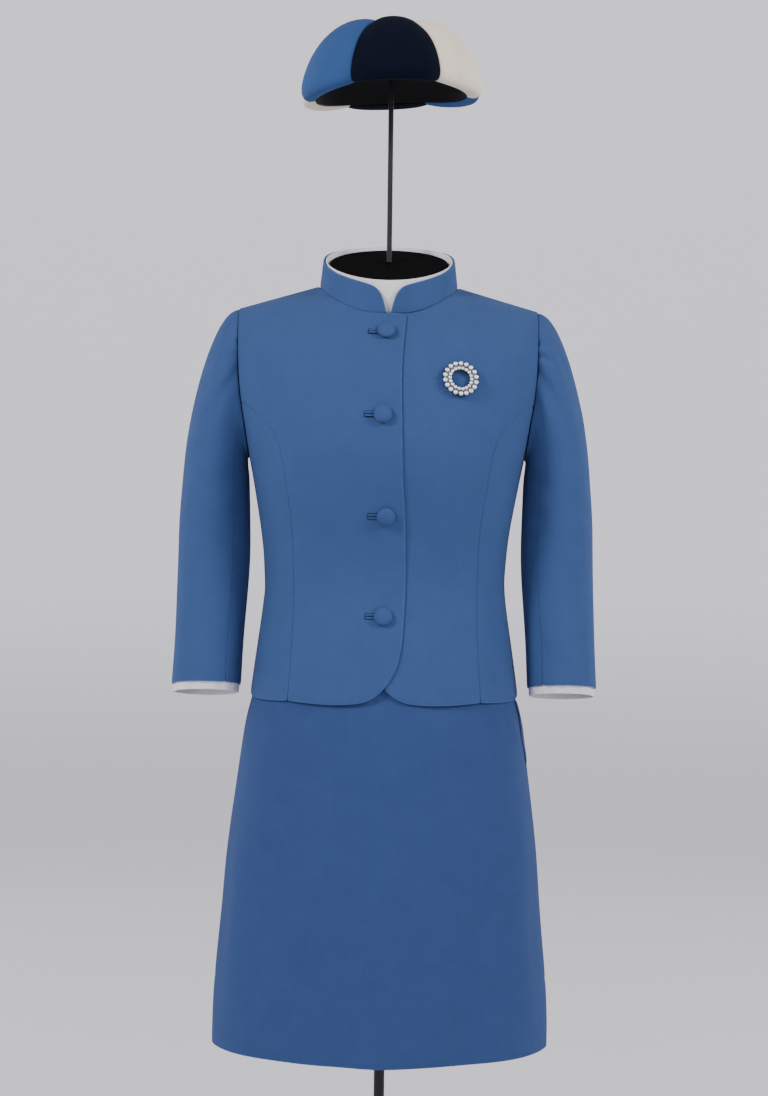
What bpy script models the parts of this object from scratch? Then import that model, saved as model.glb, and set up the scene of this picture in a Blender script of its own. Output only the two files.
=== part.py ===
"""Hostess uniform on a limbless dress form stand.

Metres, +Z up. The front faces -Y and the wearer's left is at +X. The origin is
the middle of the base plate's underside.
"""
from collections import namedtuple
from math import acos, asin, atan2, cos, pi, radians, sin, sqrt

import bmesh
import bpy
from mathutils import Matrix, Vector

# Driving dimensions
CLOTH = 0.0017                # wall of the jacket and skirt cloth
SHIRTING = 0.0015             # wall of the blouse's band and cuffs
COLLAR_WALL = 0.0022          # two layers of jacket cloth
SEAM_GAP = 0.0003             # between pieces sewn or resting together
LAP = CLOTH + 0.0010          # how far the left front lies under the right
LAP_ENDS_X = 0.060            # the left front is on the body's face from here
LAP_FADE = 0.030
GIRTH_RADIUS = 0.13           # turns a gap on the girth into an angle
FIRST_HALF_WIDTH = 0.17       # where the search for a point's width starts
NORMAL_RISE = 0.06            # tells which way is out, also on the shoulders
FRONT_NECK_END = radians(-17.0)         # where the right front's neck edge ends
EDGE_SPREAD = 1.15            # the front's rows are closer near its hem
HEM_SPREAD = 1.25             # and its columns near the centre
EVENING_ROUNDS = 24           # smooths how a panel's grid is spread
LAP_COLUMNS = 2               # which keep their place, so that the fronts lap evenly
SIDE_HALF_WIDTH = 0.165       # of the jacket at its side hem
SQUARENESS = 2.4              # superellipse exponent of the body's sections
HEM_SQUARENESS = 1.75         # of the skirt's hem, flatter towards its side seams
SHOULDER_TIP_X = 0.183
SHOULDER_TIP_Z = 1.350
SHOULDER_SLOPE = 0.29
SHOULDER_ROUND = 0.055        # radius over which the shoulder rounds down
TIP_ANGLE = radians(66.3)     # section angle of the armhole's upper part
UNDERARM_DROP = 0.2207        # girth from the shoulder line to the underarm
NECK_ANGLE = radians(22.0)    # section angle of the neck's side point
FRONT_NECK_DROP = 0.0944      # girth from the shoulder line, centre front
BACK_NECK_DROP = 0.041        # the same, centre back
PRINCESS_AT = 0.69            # where the princess seam meets the armhole
FORM_INSET = 0.0110           # from the jacket's face to the form's
FORM_BOTTOM_Z = 0.780
FORM_NECK = (0.0757, 0.0552)  # half width and half depth of the form's neck
FORM_NECK_DEEPER = 1.13       # its neck is cut this much lower than the jacket's
FORM_NECK_REACH = 0.0885      # the neck's cut edge lies inside this half width
FORM_NECK_SIDE_RISE = 0.0035
FORM_ROWS = 14
NECK_CENTRE_Y = -0.0085
COLLAR_TOP = (0.0825, 0.0630)            # half width and half depth
COLLAR_TOP_Z = (1.4033, 0.0298, 0.0067)  # middle, slope to the front, side rise
COLLAR_END_TURNS = (radians(4.0), radians(6.5), radians(10))
COLLAR_END_CURVE = radians(15)           # the rounded end rises over this turn
COLLAR_END_HEIGHT = 0.12                 # share of the height at the very end
COLLAR_ROWS = (0.0, 0.3, 0.6, 0.85, 1.0)
BAND_TOP = (0.0785, 0.0575)              # half width and half depth
BAND_FLARE = (0.0020, 0.0010)            # how much wider it is at its foot
BAND_RIM_Z = (1.4063, 0.0277, 0.0035)    # middle, slope to the front, side rise
BAND_FOOT = (0.0040, 0.0090)             # above the neck seam, and lower in front
BAND_ROWS = (0.0, 0.4, 0.8, 1.0)
WAIST_Z = 1.013
WAISTBAND_HEIGHT = 0.030
SKIRT_HEM_Z = 0.450
HEM_WAVES = 6
HEM_WAVE = 0.0030
HIP_Z = 0.860                 # the hem's waves fade out up to here
ZIP_END_Z = 0.790
ZIP_LAP_ANGLES = (radians(80), radians(90))
ZIP_LAP_WALL = 0.6 * CLOTH
BUTTON_RADIUS = 0.0108
BUTTON_STAND = 0.0016         # shank length under the button
BROOCH_PLACE = (0.085, 1.2573)
BROOCH_RADII = (0.0165, 0.0045)
BROOCH_BEADS = 12
BROOCH_LIFT = 0.0037
BROOCH_NARROW = 0.72          # the ring's thickness between two beads
BROOCH_FLAT = 0.8             # a bead's height for its width
POLE_RADIUS = 0.0065
ROD_RADIUS = 0.00325
ROD_FOOT_Z = 1.4086
BASE_RADIUS = 0.180
BASE_HEIGHT = 0.010
BASE_EDGE = 0.002
HAT_GORES = 6
HAT_WALL = 0.0020
HAT_DEPTH = 0.97              # the cap's depth for its width
HAT_TURN = radians(3.0)
CUFF_RISE = 0.035             # cuff hidden inside the sleeve
CUFF_SHOW = 0.010             # cuff showing below the sleeve
CUFF_CLEAR = 0.0007           # between the cuff and the sleeve around it

Section = namedtuple("Section", "z half_width front back")
BODY = (
    Section(0.780, 0.1690, 0.1200, 0.1260),
    Section(0.830, 0.1680, 0.1195, 0.1245),
    Section(0.872, 0.1650, 0.1180, 0.1220),
    Section(0.933, 0.1570, 0.1120, 0.1130),
    Section(1.013, 0.1470, 0.1000, 0.0970),
    Section(1.068, 0.1510, 0.1080, 0.1000),
    Section(1.117, 0.1590, 0.1220, 0.1060),
    Section(1.165, 0.1680, 0.1315, 0.1120),
    Section(1.200, 0.1770, 0.1300, 0.1135),
    Section(1.250, 0.1900, 0.1180, 0.1120),
    Section(1.300, 0.1950, 0.0980, 0.1040),
    Section(1.340, 0.1970, 0.0730, 0.0900),
    Section(1.410, 0.1970, 0.0600, 0.0800),
)
SKIRT = (
    Section(0.450, 0.2060, 0.1360, 0.1400),
    Section(0.503, 0.2060, 0.1350, 0.1390),
    Section(0.562, 0.2006, 0.1330, 0.1370),
    Section(0.621, 0.1945, 0.1310, 0.1350),
    Section(0.680, 0.1910, 0.1290, 0.1330),
    Section(0.739, 0.1840, 0.1270, 0.1300),
    Section(0.798, 0.1760, 0.1240, 0.1270),
    Section(0.838, 0.1708, 0.1210, 0.1230),
    Section(0.860, 0.1660, 0.1165, 0.1195),
    Section(0.8735, 0.1620, 0.1120, 0.1160),
    Section(0.883, 0.1603, 0.1108, 0.1148),
    Section(0.933, 0.1520, 0.1062, 0.1080),
    Section(1.013, 0.1420, 0.0945, 0.0920),
    Section(1.050, 0.1426, 0.0965, 0.0923),
)

EdgePoint = namedtuple("EdgePoint", "z x")
FRONT_EDGE = (                # how far each front reaches past the centre
    EdgePoint(0.8925, 0.0000),
    EdgePoint(0.8985, 0.0053),
    EdgePoint(0.9100, 0.0123),
    EdgePoint(0.9250, 0.0175),
    EdgePoint(0.9480, 0.0208),
    EdgePoint(1.0120, 0.0240),
    EdgePoint(1.1020, 0.0222),
    EdgePoint(1.1370, 0.0191),
    EdgePoint(1.1960, 0.0179),
    EdgePoint(1.2590, 0.0162),
    EdgePoint(1.2950, 0.0180),
    EdgePoint(1.3425, 0.0217),
)
PRINCESS = (                  # from the hem towards the armhole
    EdgePoint(0.8760, 0.1150),
    EdgePoint(0.9580, 0.1100),
    EdgePoint(1.0200, 0.1095),
    EdgePoint(1.1000, 0.1150),
    EdgePoint(1.1500, 0.1220),
    EdgePoint(1.1885, 0.1300),
    EdgePoint(1.2120, 0.1470),
)
HemPoint = namedtuple("HemPoint", "x z")
FRONT_HEM = (
    HemPoint(0.0000, 0.8925),
    HemPoint(0.0054, 0.8865),
    HemPoint(0.0196, 0.8770),
    HemPoint(0.0376, 0.8736),
    HemPoint(0.0670, 0.8726),
    HemPoint(0.0916, 0.8738),
    HemPoint(0.1150, 0.8760),
)
SIDE_HEM_Z = 0.8810
BACK_HEM_Z = 0.8790

ArmRing = namedtuple("ArmRing", "z x half_width y half_depth tilt")
ARM = (                       # tilt is the rise of the ring's front edge
    ArmRing(1.1410, 0.2088, 0.0415, 0.0010, 0.0530, 0.00),
    ArmRing(1.0923, 0.2100, 0.0442, 0.0025, 0.0520, 0.00),
    ArmRing(1.0433, 0.2101, 0.0450, 0.0020, 0.0495, 0.02),
    ArmRing(0.9942, 0.2120, 0.0440, -0.0030, 0.0465, 0.06),
    ArmRing(0.9451, 0.2140, 0.0425, -0.0110, 0.0435, 0.11),
    ArmRing(0.8900, 0.2163, 0.0430, -0.0210, 0.0415, 0.15),
)
# The armhole's points, from the shoulder tip down the front, under the arm and
# up the back, each with its share of the way down and its angle round the arm.
ArmholePoint = namedtuple("ArmholePoint", "down back turn")
ARMHOLE = (
    ArmholePoint(0.00, False, 0.0),
    ArmholePoint(0.10, False, 19.0),
    ArmholePoint(0.22, False, 38.0),
    ArmholePoint(0.34, False, 57.0),
    ArmholePoint(0.46, False, 74.0),
    ArmholePoint(0.58, False, 92.0),
    ArmholePoint(PRINCESS_AT, False, 110.0),
    ArmholePoint(0.80, False, 127.0),
    ArmholePoint(0.90, False, 145.0),
    ArmholePoint(0.97, False, 163.0),
    ArmholePoint(1.00, False, 180.0),
    ArmholePoint(0.97, True, 197.0),
    ArmholePoint(0.90, True, 216.0),
    ArmholePoint(0.80, True, 235.0),
    ArmholePoint(0.67, True, 256.0),
    ArmholePoint(0.54, True, 277.0),
    ArmholePoint(0.41, True, 298.0),
    ArmholePoint(0.27, True, 319.0),
    ArmholePoint(0.13, True, 340.0),
    ArmholePoint(0.00, True, 360.0),
)
SLEEVE_CLEAR = 0.0006         # how far the sleeve stands off under the arm
CAP_LEAN = 0.35               # how far the cap leaves the armhole forwards
CAP_LIFT = 0.15               # and upwards, at the shoulder
CAP_PULLS = (0.45, 0.90)      # how straight it leaves, and hangs below
JUNCTION = 6                  # rows of ARMHOLE where seams meet it
FRONT_SLEEVE_SEAM = 7
UNDERARM = 10
BACK_SLEEVE_SEAM = 13
SEAM_ROWS = 13                # from the hem to the armhole

HatRow = namedtuple("HatRow", "radius z puff_out puff_up")
HAT = (
    HatRow(0.0020, 1.6930, 0.0000, 0.0000),
    HatRow(0.0300, 1.6965, 0.0000, 0.0065),
    HatRow(0.0600, 1.6900, 0.0030, 0.0085),
    HatRow(0.0850, 1.6710, 0.0060, 0.0060),
    HatRow(0.0990, 1.6500, 0.0080, 0.0030),
    HatRow(0.1065, 1.6300, 0.0090, 0.0000),
    HatRow(0.1075, 1.6180, 0.0090, -0.0030),
    HatRow(0.1020, 1.6105, 0.0060, -0.0050),
    HatRow(0.0930, 1.6130, 0.0000, -0.0010),
)
LINING_RADIUS = 0.0924
LINING_EDGE_Z = 1.6135
LINING_TOP_Z = 1.6880
LINING_WALL = 0.0012
HAT_TILT_END_Z = 1.680        # the rim's rise and fall fade out up to here
RimTilt = namedtuple("RimTilt", "all forwards left arch")
RIM_TILT = RimTilt(0.0005, -0.0025, 0.0045, 0.0050)
GORE_STEPS = 8
PUFF_POWER = 0.6
REST_HEIGHT = 0.004

Place = namedtuple("Place", "x z")
BUTTONS = (
    Place(-0.0020, 1.3150),
    Place(-0.0050, 1.2145),
    Place(0.0000, 1.0950),
    Place(-0.0020, 0.9770),
)
BUTTON_PROFILE = (            # radius and height, from the dome to the shank
    (0.0, 0.0058),
    (0.0040, 0.0055),
    (0.0075, 0.0044),
    (0.0098, 0.0026),
    (BUTTON_RADIUS, 0.0012),
    (0.0102, 0.0001),
    (0.0030, 0.0),
    (0.0030, -BUTTON_STAND),
    (0.0, -BUTTON_STAND),
)
BUTTONHOLE = (0.0222, 0.0045, 0.0074)   # reach from the button, start, height
WELT_RISE = 0.0013
WELT_WALL = 0.0008

# The form's neck, from its foot to inside its top
NeckRing = namedtuple("NeckRing", "size front back")
FORM_NECK_RINGS = (
    NeckRing(1.00, 1.3335, 1.3900),
    NeckRing(1.00, 1.3730, 1.4310),
    NeckRing(0.66, 1.3730, 1.4310),
    NeckRing(0.33, 1.3730, 1.4310),
)

# Colours, roughness and metallic values
Finish = namedtuple("Finish", "colour roughness metallic")
FINISHES = {
    "jacket": Finish((0.070, 0.150, 0.320), 0.9, 0.0),
    "skirt": Finish((0.045, 0.110, 0.290), 0.9, 0.0),
    "blouse": Finish((0.680, 0.680, 0.690), 0.8, 0.0),
    "hat_navy": Finish((0.008, 0.009, 0.025), 0.9, 0.0),
    "hat_cream": Finish((0.670, 0.620, 0.550), 0.9, 0.0),
    "hat_blue": Finish((0.065, 0.155, 0.370), 0.9, 0.0),
    "lining": Finish((0.010, 0.010, 0.012), 0.6, 0.0),
    "form": Finish((0.008, 0.008, 0.009), 0.7, 0.0),
    "metal": Finish((0.020, 0.020, 0.022), 0.4, 0.8),
    "silver": Finish((0.700, 0.700, 0.720), 0.3, 1.0),
}


def reading(rows, column, at):
    """Smooth reading of one column of a table at a value of its first one."""
    rows = sorted(rows)
    keys = [row[0] for row in rows]
    values = [getattr(row, column) for row in rows]
    if at <= keys[0]:
        return values[0]
    if at >= keys[-1]:
        return values[-1]
    index = next(i for i in range(len(keys) - 1) if at <= keys[i + 1])

    def slope(i):
        low = max(i - 1, 0)
        high = min(i + 1, len(keys) - 1)
        return (values[high] - values[low]) / (keys[high] - keys[low])

    step = keys[index + 1] - keys[index]
    t = (at - keys[index]) / step
    start = (2 * t ** 3 - 3 * t ** 2 + 1) * values[index]
    end = (3 * t ** 2 - 2 * t ** 3) * values[index + 1]
    bend_in = (t ** 3 - 2 * t ** 2 + t) * step * slope(index)
    bend_out = (t ** 3 - t ** 2) * step * slope(index + 1)
    return start + end + bend_in + bend_out


def power(value, exponent):
    """A power that keeps the sign of its value."""
    return abs(value) ** exponent * (1 if value >= 0 else -1)


def ring_point(rows, angle, z, squareness=SQUARENESS):
    """Point of a superellipse section, from the centre front at angle 0."""
    depth = "front" if cos(angle) >= 0 else "back"
    x = reading(rows, "half_width", z) * power(sin(angle), 2 / squareness)
    y = -reading(rows, depth, z) * power(cos(angle), 2 / squareness)
    return Vector((x, y, z))


def shoulder_z(x):
    return SHOULDER_TIP_Z + SHOULDER_SLOPE * (SHOULDER_TIP_X - abs(x))


def body_face(angle, drop):
    """Point of the jacket's face, by section angle and girth from the shoulder."""
    x = FIRST_HALF_WIDTH * power(sin(angle), 2 / SQUARENESS)
    for _ in range(6):
        turn = min(drop / SHOULDER_ROUND, pi / 2)
        z = shoulder_z(x) - SHOULDER_ROUND * (1 - cos(turn))
        z -= max(0.0, drop - SHOULDER_ROUND * pi / 2)
        point = ring_point(BODY, angle, z)
        x = point.x
    point.y *= sin(turn)
    return point


def face_normal(surface, angle, drop):
    """Unit normal of a surface given by two values, pointing out."""
    small = 0.0005
    across = surface(angle + small * 4, drop) - surface(angle - small * 4, drop)
    along = surface(angle, drop + small) - surface(angle, drop - small)
    normal = across.cross(along).normalized()
    outward = surface(angle, drop)
    outward.z = NORMAL_RISE
    return normal if normal.dot(outward) > 0 else -normal


def body_point(angle, drop, inset=0.0):
    point = body_face(angle, drop)
    if inset:
        point = point - inset * face_normal(body_face, angle, drop)
    return point


def section_angle(x, z):
    share = min(1.0, abs(x) / reading(BODY, "half_width", z))
    return asin(share ** (SQUARENESS / 2)) * (1 if x >= 0 else -1)


def girth_drop(x, z):
    fall = shoulder_z(x) - z
    if fall < SHOULDER_ROUND:
        return SHOULDER_ROUND * acos(1 - fall / SHOULDER_ROUND)
    return SHOULDER_ROUND * pi / 2 + fall - SHOULDER_ROUND


def spot(x, z):
    """Section angle and girth of the front's point at x and z."""
    return section_angle(x, z), girth_drop(x, z)


def armhole_spot(row):
    """Section angle and girth of one point of the armhole, wearer's left."""
    spread = (pi / 2 - TIP_ANGLE) * sqrt(1 - row.down ** 3)
    angle = pi / 2 + spread if row.back else pi / 2 - spread
    return angle, UNDERARM_DROP * row.down


def neck_spot(turn):
    """Neckline, from centre front at 0 through the side at pi/2 to the back."""
    side = 1 if turn >= 0 else -1
    swing = NECK_ANGLE * abs(sin(turn)) ** 1.5 * side
    if cos(turn) >= 0:
        return swing, FRONT_NECK_DROP * cos(turn)
    return pi * side - swing, BACK_NECK_DROP * abs(cos(turn))


# Turns round the neck at which the panels and the collar meet
FRONT_NECK_TURNS = (radians(14), radians(31), radians(49), radians(68), pi / 2)
BACK_NECK_TURNS = (pi / 2, radians(113), radians(135), radians(157), pi)
SHOULDER_STEPS = 4


def spaced(start, end, count):
    return [start + (end - start) * i / count for i in range(count + 1)]


def patch(bottom, top, inner, outer, kept=1):
    """Rows of section angles and girths filling four edges (a Coons patch)."""
    columns = len(bottom) - 1
    rows = len(inner) - 1
    grid = []
    for j in range(rows + 1):
        t = j / rows
        line = []
        for i in range(columns + 1):
            s = i / columns
            pair = []
            for k in (0, 1):
                value = (1 - s) * inner[j][k] + s * outer[j][k]
                value += (1 - t) * bottom[i][k] + t * top[i][k]
                low = (1 - s) * bottom[0][k] + s * bottom[-1][k]
                high = (1 - s) * top[0][k] + s * top[-1][k]
                pair.append(value - (1 - t) * low - t * high)
            line.append(tuple(pair))
        grid.append(line)
    return evened(grid, kept)


def evened(grid, kept):
    """The grid with its points, past the kept columns, drawn to the middle of their neighbours."""
    for _ in range(EVENING_ROUNDS):
        for j in range(1, len(grid) - 1):
            for i in range(kept, len(grid[0]) - 1):
                near = (grid[j - 1][i], grid[j + 1][i], grid[j][i - 1], grid[j][i + 1])
                grid[j][i] = tuple(sum(spot[k] for spot in near) / 4 for k in (0, 1))
    return grid


def moved(spots, angle=0.0, drop=0.0):
    return [(a + angle, d + drop) for a, d in spots]


# Seam gaps as half shares, in section angle and in girth
HALF_GAP = SEAM_GAP / 2
HALF_GAP_ANGLE = HALF_GAP / GIRTH_RADIUS


def princess_spots():
    """The princess seam, from the hem up to the armhole."""
    end = armhole_spot(ARMHOLE[JUNCTION])
    heights = spaced(PRINCESS[0].z, PRINCESS[-1].z, SEAM_ROWS - 1)
    spots = [spot(reading(PRINCESS, "x", z), z) for z in heights]
    return spots + [end]


def armhole_spots(first, last):
    step = 1 if last >= first else -1
    return [armhole_spot(ARMHOLE[i]) for i in range(first, last + step, step)]


def front_grid():
    """A front: centre edge, princess seam and armhole, hem, neck and shoulder."""
    rows = SEAM_ROWS + JUNCTION
    low = FRONT_EDGE[0].z
    high = FRONT_EDGE[-1].z
    inner = []
    for j in range(rows + 1):
        z = low + (high - low) * (j / rows) ** EDGE_SPREAD
        inner.append(spot(-reading(FRONT_EDGE, "x", z), z))
    start = neck_spot(FRONT_NECK_END)
    inner[-1] = (inner[-1][0], start[1] + HALF_GAP)
    outer = princess_spots() + armhole_spots(JUNCTION - 1, 0)
    outer = [(a - HALF_GAP_ANGLE, d) for a, d in outer]
    outer[-1] = (outer[-1][0], HALF_GAP)
    neck = [inner[-1], neck_spot(radians(1.0))]
    neck += [neck_spot(turn) for turn in FRONT_NECK_TURNS]
    neck = [neck[0]] + moved(neck[1:], drop=HALF_GAP)
    shoulder = [(a, HALF_GAP) for a in spaced(NECK_ANGLE, outer[-1][0], SHOULDER_STEPS)]
    top = neck + shoulder[1:]
    columns = len(top) - 1
    reach = PRINCESS[0].x
    bottom = []
    for i in range(columns + 1):
        x = reach * (i / columns) ** HEM_SPREAD
        bottom.append(spot(x, reading(FRONT_HEM, "z", x)))
    bottom[-1] = outer[0]
    bottom[0] = inner[0]
    return patch(bottom, top, inner, outer, LAP_COLUMNS)


def side_front_grid():
    inner = moved(princess_spots(), angle=HALF_GAP_ANGLE)
    side = pi / 2 - HALF_GAP_ANGLE
    top = armhole_spots(JUNCTION, UNDERARM)
    top[0] = inner[-1]
    top[-1] = (side, top[-1][1])
    low = girth_drop(SIDE_HALF_WIDTH, SIDE_HEM_Z)
    outer = [(side, d) for d in spaced(low, top[-1][1], SEAM_ROWS)]
    columns = len(top) - 1
    bottom = []
    for i in range(columns + 1):
        s = i / columns
        bottom.append(((1 - s) * inner[0][0] + s * side, (1 - s) * inner[0][1] + s * low))
    return patch(bottom, top, inner, outer)


def back_grid():
    """A back: side seam and armhole, centre back seam, hem, shoulder and neck."""
    low = girth_drop(SIDE_HALF_WIDTH, SIDE_HEM_Z)
    side = pi / 2 + HALF_GAP_ANGLE
    armhole = armhole_spots(UNDERARM, len(ARMHOLE) - 1)
    seam = [(side, d) for d in spaced(low, armhole[0][1], SEAM_ROWS)]
    inner = seam + armhole[1:]
    inner[-1] = (inner[-1][0], HALF_GAP)
    neck_side = pi - NECK_ANGLE
    shoulder = [(a, HALF_GAP) for a in spaced(inner[-1][0], neck_side, SHOULDER_STEPS)]
    neck = moved([neck_spot(turn) for turn in BACK_NECK_TURNS[1:]], drop=HALF_GAP)
    centre = pi - HALF_GAP_ANGLE
    neck[-1] = (centre, neck[-1][1])
    top = shoulder + neck
    rows = len(inner) - 1
    middle_low = girth_drop(0.0, BACK_HEM_Z)
    outer = [(centre, drop) for drop in spaced(middle_low, neck[-1][1], rows)]
    columns = len(top) - 1
    bottom = []
    for i in range(columns + 1):
        s = i / columns
        bottom.append(((1 - s) * side + s * centre, (1 - s) * low + s * middle_low))
    return patch(bottom, top, inner, outer)


def lap_inset(x):
    """How far the left front sinks under the right one, fading to its side."""
    fade = min(1.0, max(0.0, (LAP_ENDS_X - x) / LAP_FADE))
    return LAP * fade * fade * (3 - 2 * fade)


def mirrored(point, side):
    return Vector((point.x * side, point.y, point.z))


def panel_points(grid, side, depth=0.0, laps_under=False):
    """Rows of points of a panel, at a depth below its face."""
    rows = []
    for line in grid:
        row = []
        for angle, drop in line:
            inset = depth
            if laps_under:
                inset += lap_inset(body_face(angle, drop).x)
            row.append(mirrored(body_point(angle, drop, inset), side))
        rows.append(row)
    return rows


def sleeve_ring(height, index):
    """Point of the lower sleeve's face, round the arm at one height."""
    turn = radians(ARMHOLE[index].turn)
    ring = {name: reading(ARM, name, height) for name in ArmRing._fields[1:]}
    x = ring["x"] + ring["half_width"] * cos(turn)
    offset = -ring["half_depth"] * sin(turn)
    z = height - offset * ring["tilt"]
    return Vector((x, ring["y"] + offset, z))


SLEEVE_TOP_Z = ARM[0].z
SLEEVE_HEM_Z = ARM[-1].z
CAP_ROWS = (0.0, 0.10, 0.24, 0.42, 0.62, 0.82)
ARM_ROWS = 9


def cap_point(index, share):
    """Point of the sleeve's cap, between the armhole and the upper arm."""
    row = ARMHOLE[index]
    start = body_face(*armhole_spot(row))
    end = sleeve_ring(SLEEVE_TOP_Z, index)
    turn = radians(row.turn)
    out = Vector((1.0, -CAP_LEAN * sin(turn), CAP_LIFT * max(0.0, cos(turn)))).normalized()
    under = (1 - cos(turn)) / 2
    start = start + (SEAM_GAP + (SLEEVE_CLEAR - SEAM_GAP) * under) * out
    chord = (end - start).length
    t = share
    point = (2 * t ** 3 - 3 * t ** 2 + 1) * start
    point += (3 * t ** 2 - 2 * t ** 3) * end
    point += (t ** 3 - 2 * t ** 2 + t) * CAP_PULLS[0] * chord * out
    point += (t ** 3 - t ** 2) * CAP_PULLS[1] * chord * Vector((0, 0, -1))
    return point


def sleeve_tube():
    """Rows of points all round the sleeve, from the hem to the armhole."""
    columns = range(len(ARMHOLE) - 1)
    heights = spaced(SLEEVE_HEM_Z, SLEEVE_TOP_Z, ARM_ROWS)
    rows = [[sleeve_ring(z, i) for i in columns] for z in heights]
    rows += [[cap_point(i, share) for i in columns] for share in reversed(CAP_ROWS)]
    return rows


def tube_inside(rows, wall):
    """The inner face of a tube given by its rows."""
    inside = []
    count = len(rows[0])
    for r, row in enumerate(rows):
        low = rows[max(r - 1, 0)]
        high = rows[min(r + 1, len(rows) - 1)]
        hub = sum(row, Vector()) / count
        line = []
        for i, point in enumerate(row):
            across = row[(i + 1) % count] - row[i - 1]
            normal = across.cross(high[i] - low[i]).normalized()
            if normal.dot(point - hub) < 0:
                normal = -normal
            line.append(point - wall * normal)
        inside.append(line)
    return inside


def sleeve_piece(tube, first, last, side):
    """The columns of a sleeve between two seams, half a gap short of each."""
    rows = []
    for ring in tube:
        row = [ring[i % len(ring)] for i in range(first, last + 1)]
        start = HALF_GAP * (row[1] - row[0]).normalized()
        end = HALF_GAP * (row[-2] - row[-1]).normalized()
        row[0] = row[0] + start
        row[-1] = row[-1] + end
        rows.append([mirrored(point, side) for point in row])
    return rows


def collar_points():
    """Rows of the stand collar, from the neck seam to its rounded top edge."""
    half = COLLAR_END_TURNS + FRONT_NECK_TURNS + BACK_NECK_TURNS[1:]
    turns = [-turn for turn in half] + list(reversed(half))[1:]
    rows = []
    for share in COLLAR_ROWS:
        row = []
        for turn in turns:
            low = body_face(*neck_spot(turn)) + Vector((0, 0, SEAM_GAP * 1.5))
            if low.x > 0:
                low.y += lap_inset(low.x)
            high = collar_top(turn)
            past_end = min(1.0, (abs(turn) - half[0]) / COLLAR_END_CURVE)
            rise = sqrt(1 - (1 - past_end) ** 2)
            height = COLLAR_END_HEIGHT + (1 - COLLAR_END_HEIGHT) * rise
            row.append(low.lerp(high, share * height))
        rows.append(row)
    return rows


def collar_top(turn):
    middle, slope, side_rise = COLLAR_TOP_Z
    x = COLLAR_TOP[0] * sin(turn)
    y = NECK_CENTRE_Y - COLLAR_TOP[1] * cos(turn)
    z = middle - slope * cos(turn) + side_rise * sin(turn) ** 2
    return Vector((x, y, z))


def new_mesh_object(name, mesh, finish, collection):
    item = bpy.data.objects.new(name, mesh)
    collection.objects.link(item)
    item.data.materials.append(materials[finish])
    return item


def wall_object(name, outside, inside, finish):
    """One piece of cloth, closed between the rows of its two faces."""
    bm = bmesh.new()
    faces = [[[bm.verts.new(point) for point in row] for row in rows]
             for rows in (outside, inside)]
    out, back = faces
    last = len(out[0]) - 1
    for r in range(len(out) - 1):
        for i in range(last):
            for grid in faces:
                bm.faces.new((grid[r][i], grid[r][i + 1], grid[r + 1][i + 1], grid[r + 1][i]))
        for i in (0, last):
            bm.faces.new((out[r][i], out[r + 1][i], back[r + 1][i], back[r][i]))
    for r in (0, len(out) - 1):
        for i in range(last):
            bm.faces.new((out[r][i], out[r][i + 1], back[r][i + 1], back[r][i]))
    bmesh.ops.recalc_face_normals(bm, faces=bm.faces)
    return finished_object(name, bm, finish)


def sheet_object(name, rows, finish, wall, closed=False):
    """One piece of cloth: an open surface through its rows, with its wall."""
    bm = bmesh.new()
    grid = [[bm.verts.new(point) for point in row] for row in rows]
    count = len(grid[0])
    for low, high in zip(grid, grid[1:]):
        for i in range(count if closed else count - 1):
            j = (i + 1) % count
            bm.faces.new((low[i], low[j], high[j], high[i]))
    bmesh.ops.recalc_face_normals(bm, faces=bm.faces)
    hub = sum((v.co for v in bm.verts), Vector()) / len(bm.verts) if closed else Vector()
    face = max(bm.faces, key=lambda f: (f.calc_center_median() - hub).xy.length)
    outward = face.calc_center_median() - hub
    outward.z = 0.0
    if face.normal.dot(outward) < 0:
        bmesh.ops.reverse_faces(bm, faces=bm.faces)
    item = finished_object(name, bm, finish)
    solidify = item.modifiers.new("Wall", "SOLIDIFY")
    solidify.thickness = wall
    solidify.offset = -1
    solidify.use_even_offset = True
    return item


def finished_object(name, bm, finish):
    mesh = bpy.data.meshes.new(name)
    bm.to_mesh(mesh)
    bm.free()
    mesh.shade_smooth()
    mesh.set_sharp_from_angle(angle=radians(50))
    return new_mesh_object(name, mesh, finish, parts)


def turned_object(name, profile, finish, steps, matrix=None):
    """A turned piece: a profile of radius and height, top to bottom."""
    mesh = bpy.data.meshes.new(name)
    points = [(radius, 0.0, height) for radius, height in profile]
    edges = [(i, i + 1) for i in range(len(points) - 1)]
    mesh.from_pydata(points, edges, [])
    item = new_mesh_object(name, mesh, finish, parts)
    screw = item.modifiers.new("Turn", "SCREW")
    screw.steps = steps
    screw.render_steps = steps
    screw.use_merge_vertices = True
    screw.merge_threshold = 0.00002
    screw.use_normal_calculate = False
    screw.use_smooth_shade = True
    if matrix is not None:
        item.matrix_world = matrix
    return item


def build_jacket():
    panels = (("jacket_front_", front_grid()), ("jacket_side_front_", side_front_grid()),
              ("jacket_back_", back_grid()))
    last = len(ARMHOLE) - 1
    sleeves = (("jacket_upper_sleeve_", BACK_SLEEVE_SEAM, last + FRONT_SLEEVE_SEAM),
               ("jacket_under_sleeve_", FRONT_SLEEVE_SEAM, BACK_SLEEVE_SEAM))
    tube = sleeve_tube()
    inner_tube = tube_inside(tube, CLOTH)
    for side, word in ((1, "left"), (-1, "right")):
        for name, grid in panels:
            laps_under = name == "jacket_front_" and side == 1
            outside = panel_points(grid, side, 0.0, laps_under)
            inside = panel_points(grid, side, CLOTH, laps_under)
            wall_object(name + word, outside, inside, "jacket")
        for name, start, end in sleeves:
            outside = sleeve_piece(tube, start, end, side)
            inside = sleeve_piece(inner_tube, start, end, side)
            wall_object(name + word, outside, inside, "jacket")
    sheet_object("jacket_collar", collar_points(), "jacket", COLLAR_WALL)


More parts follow.
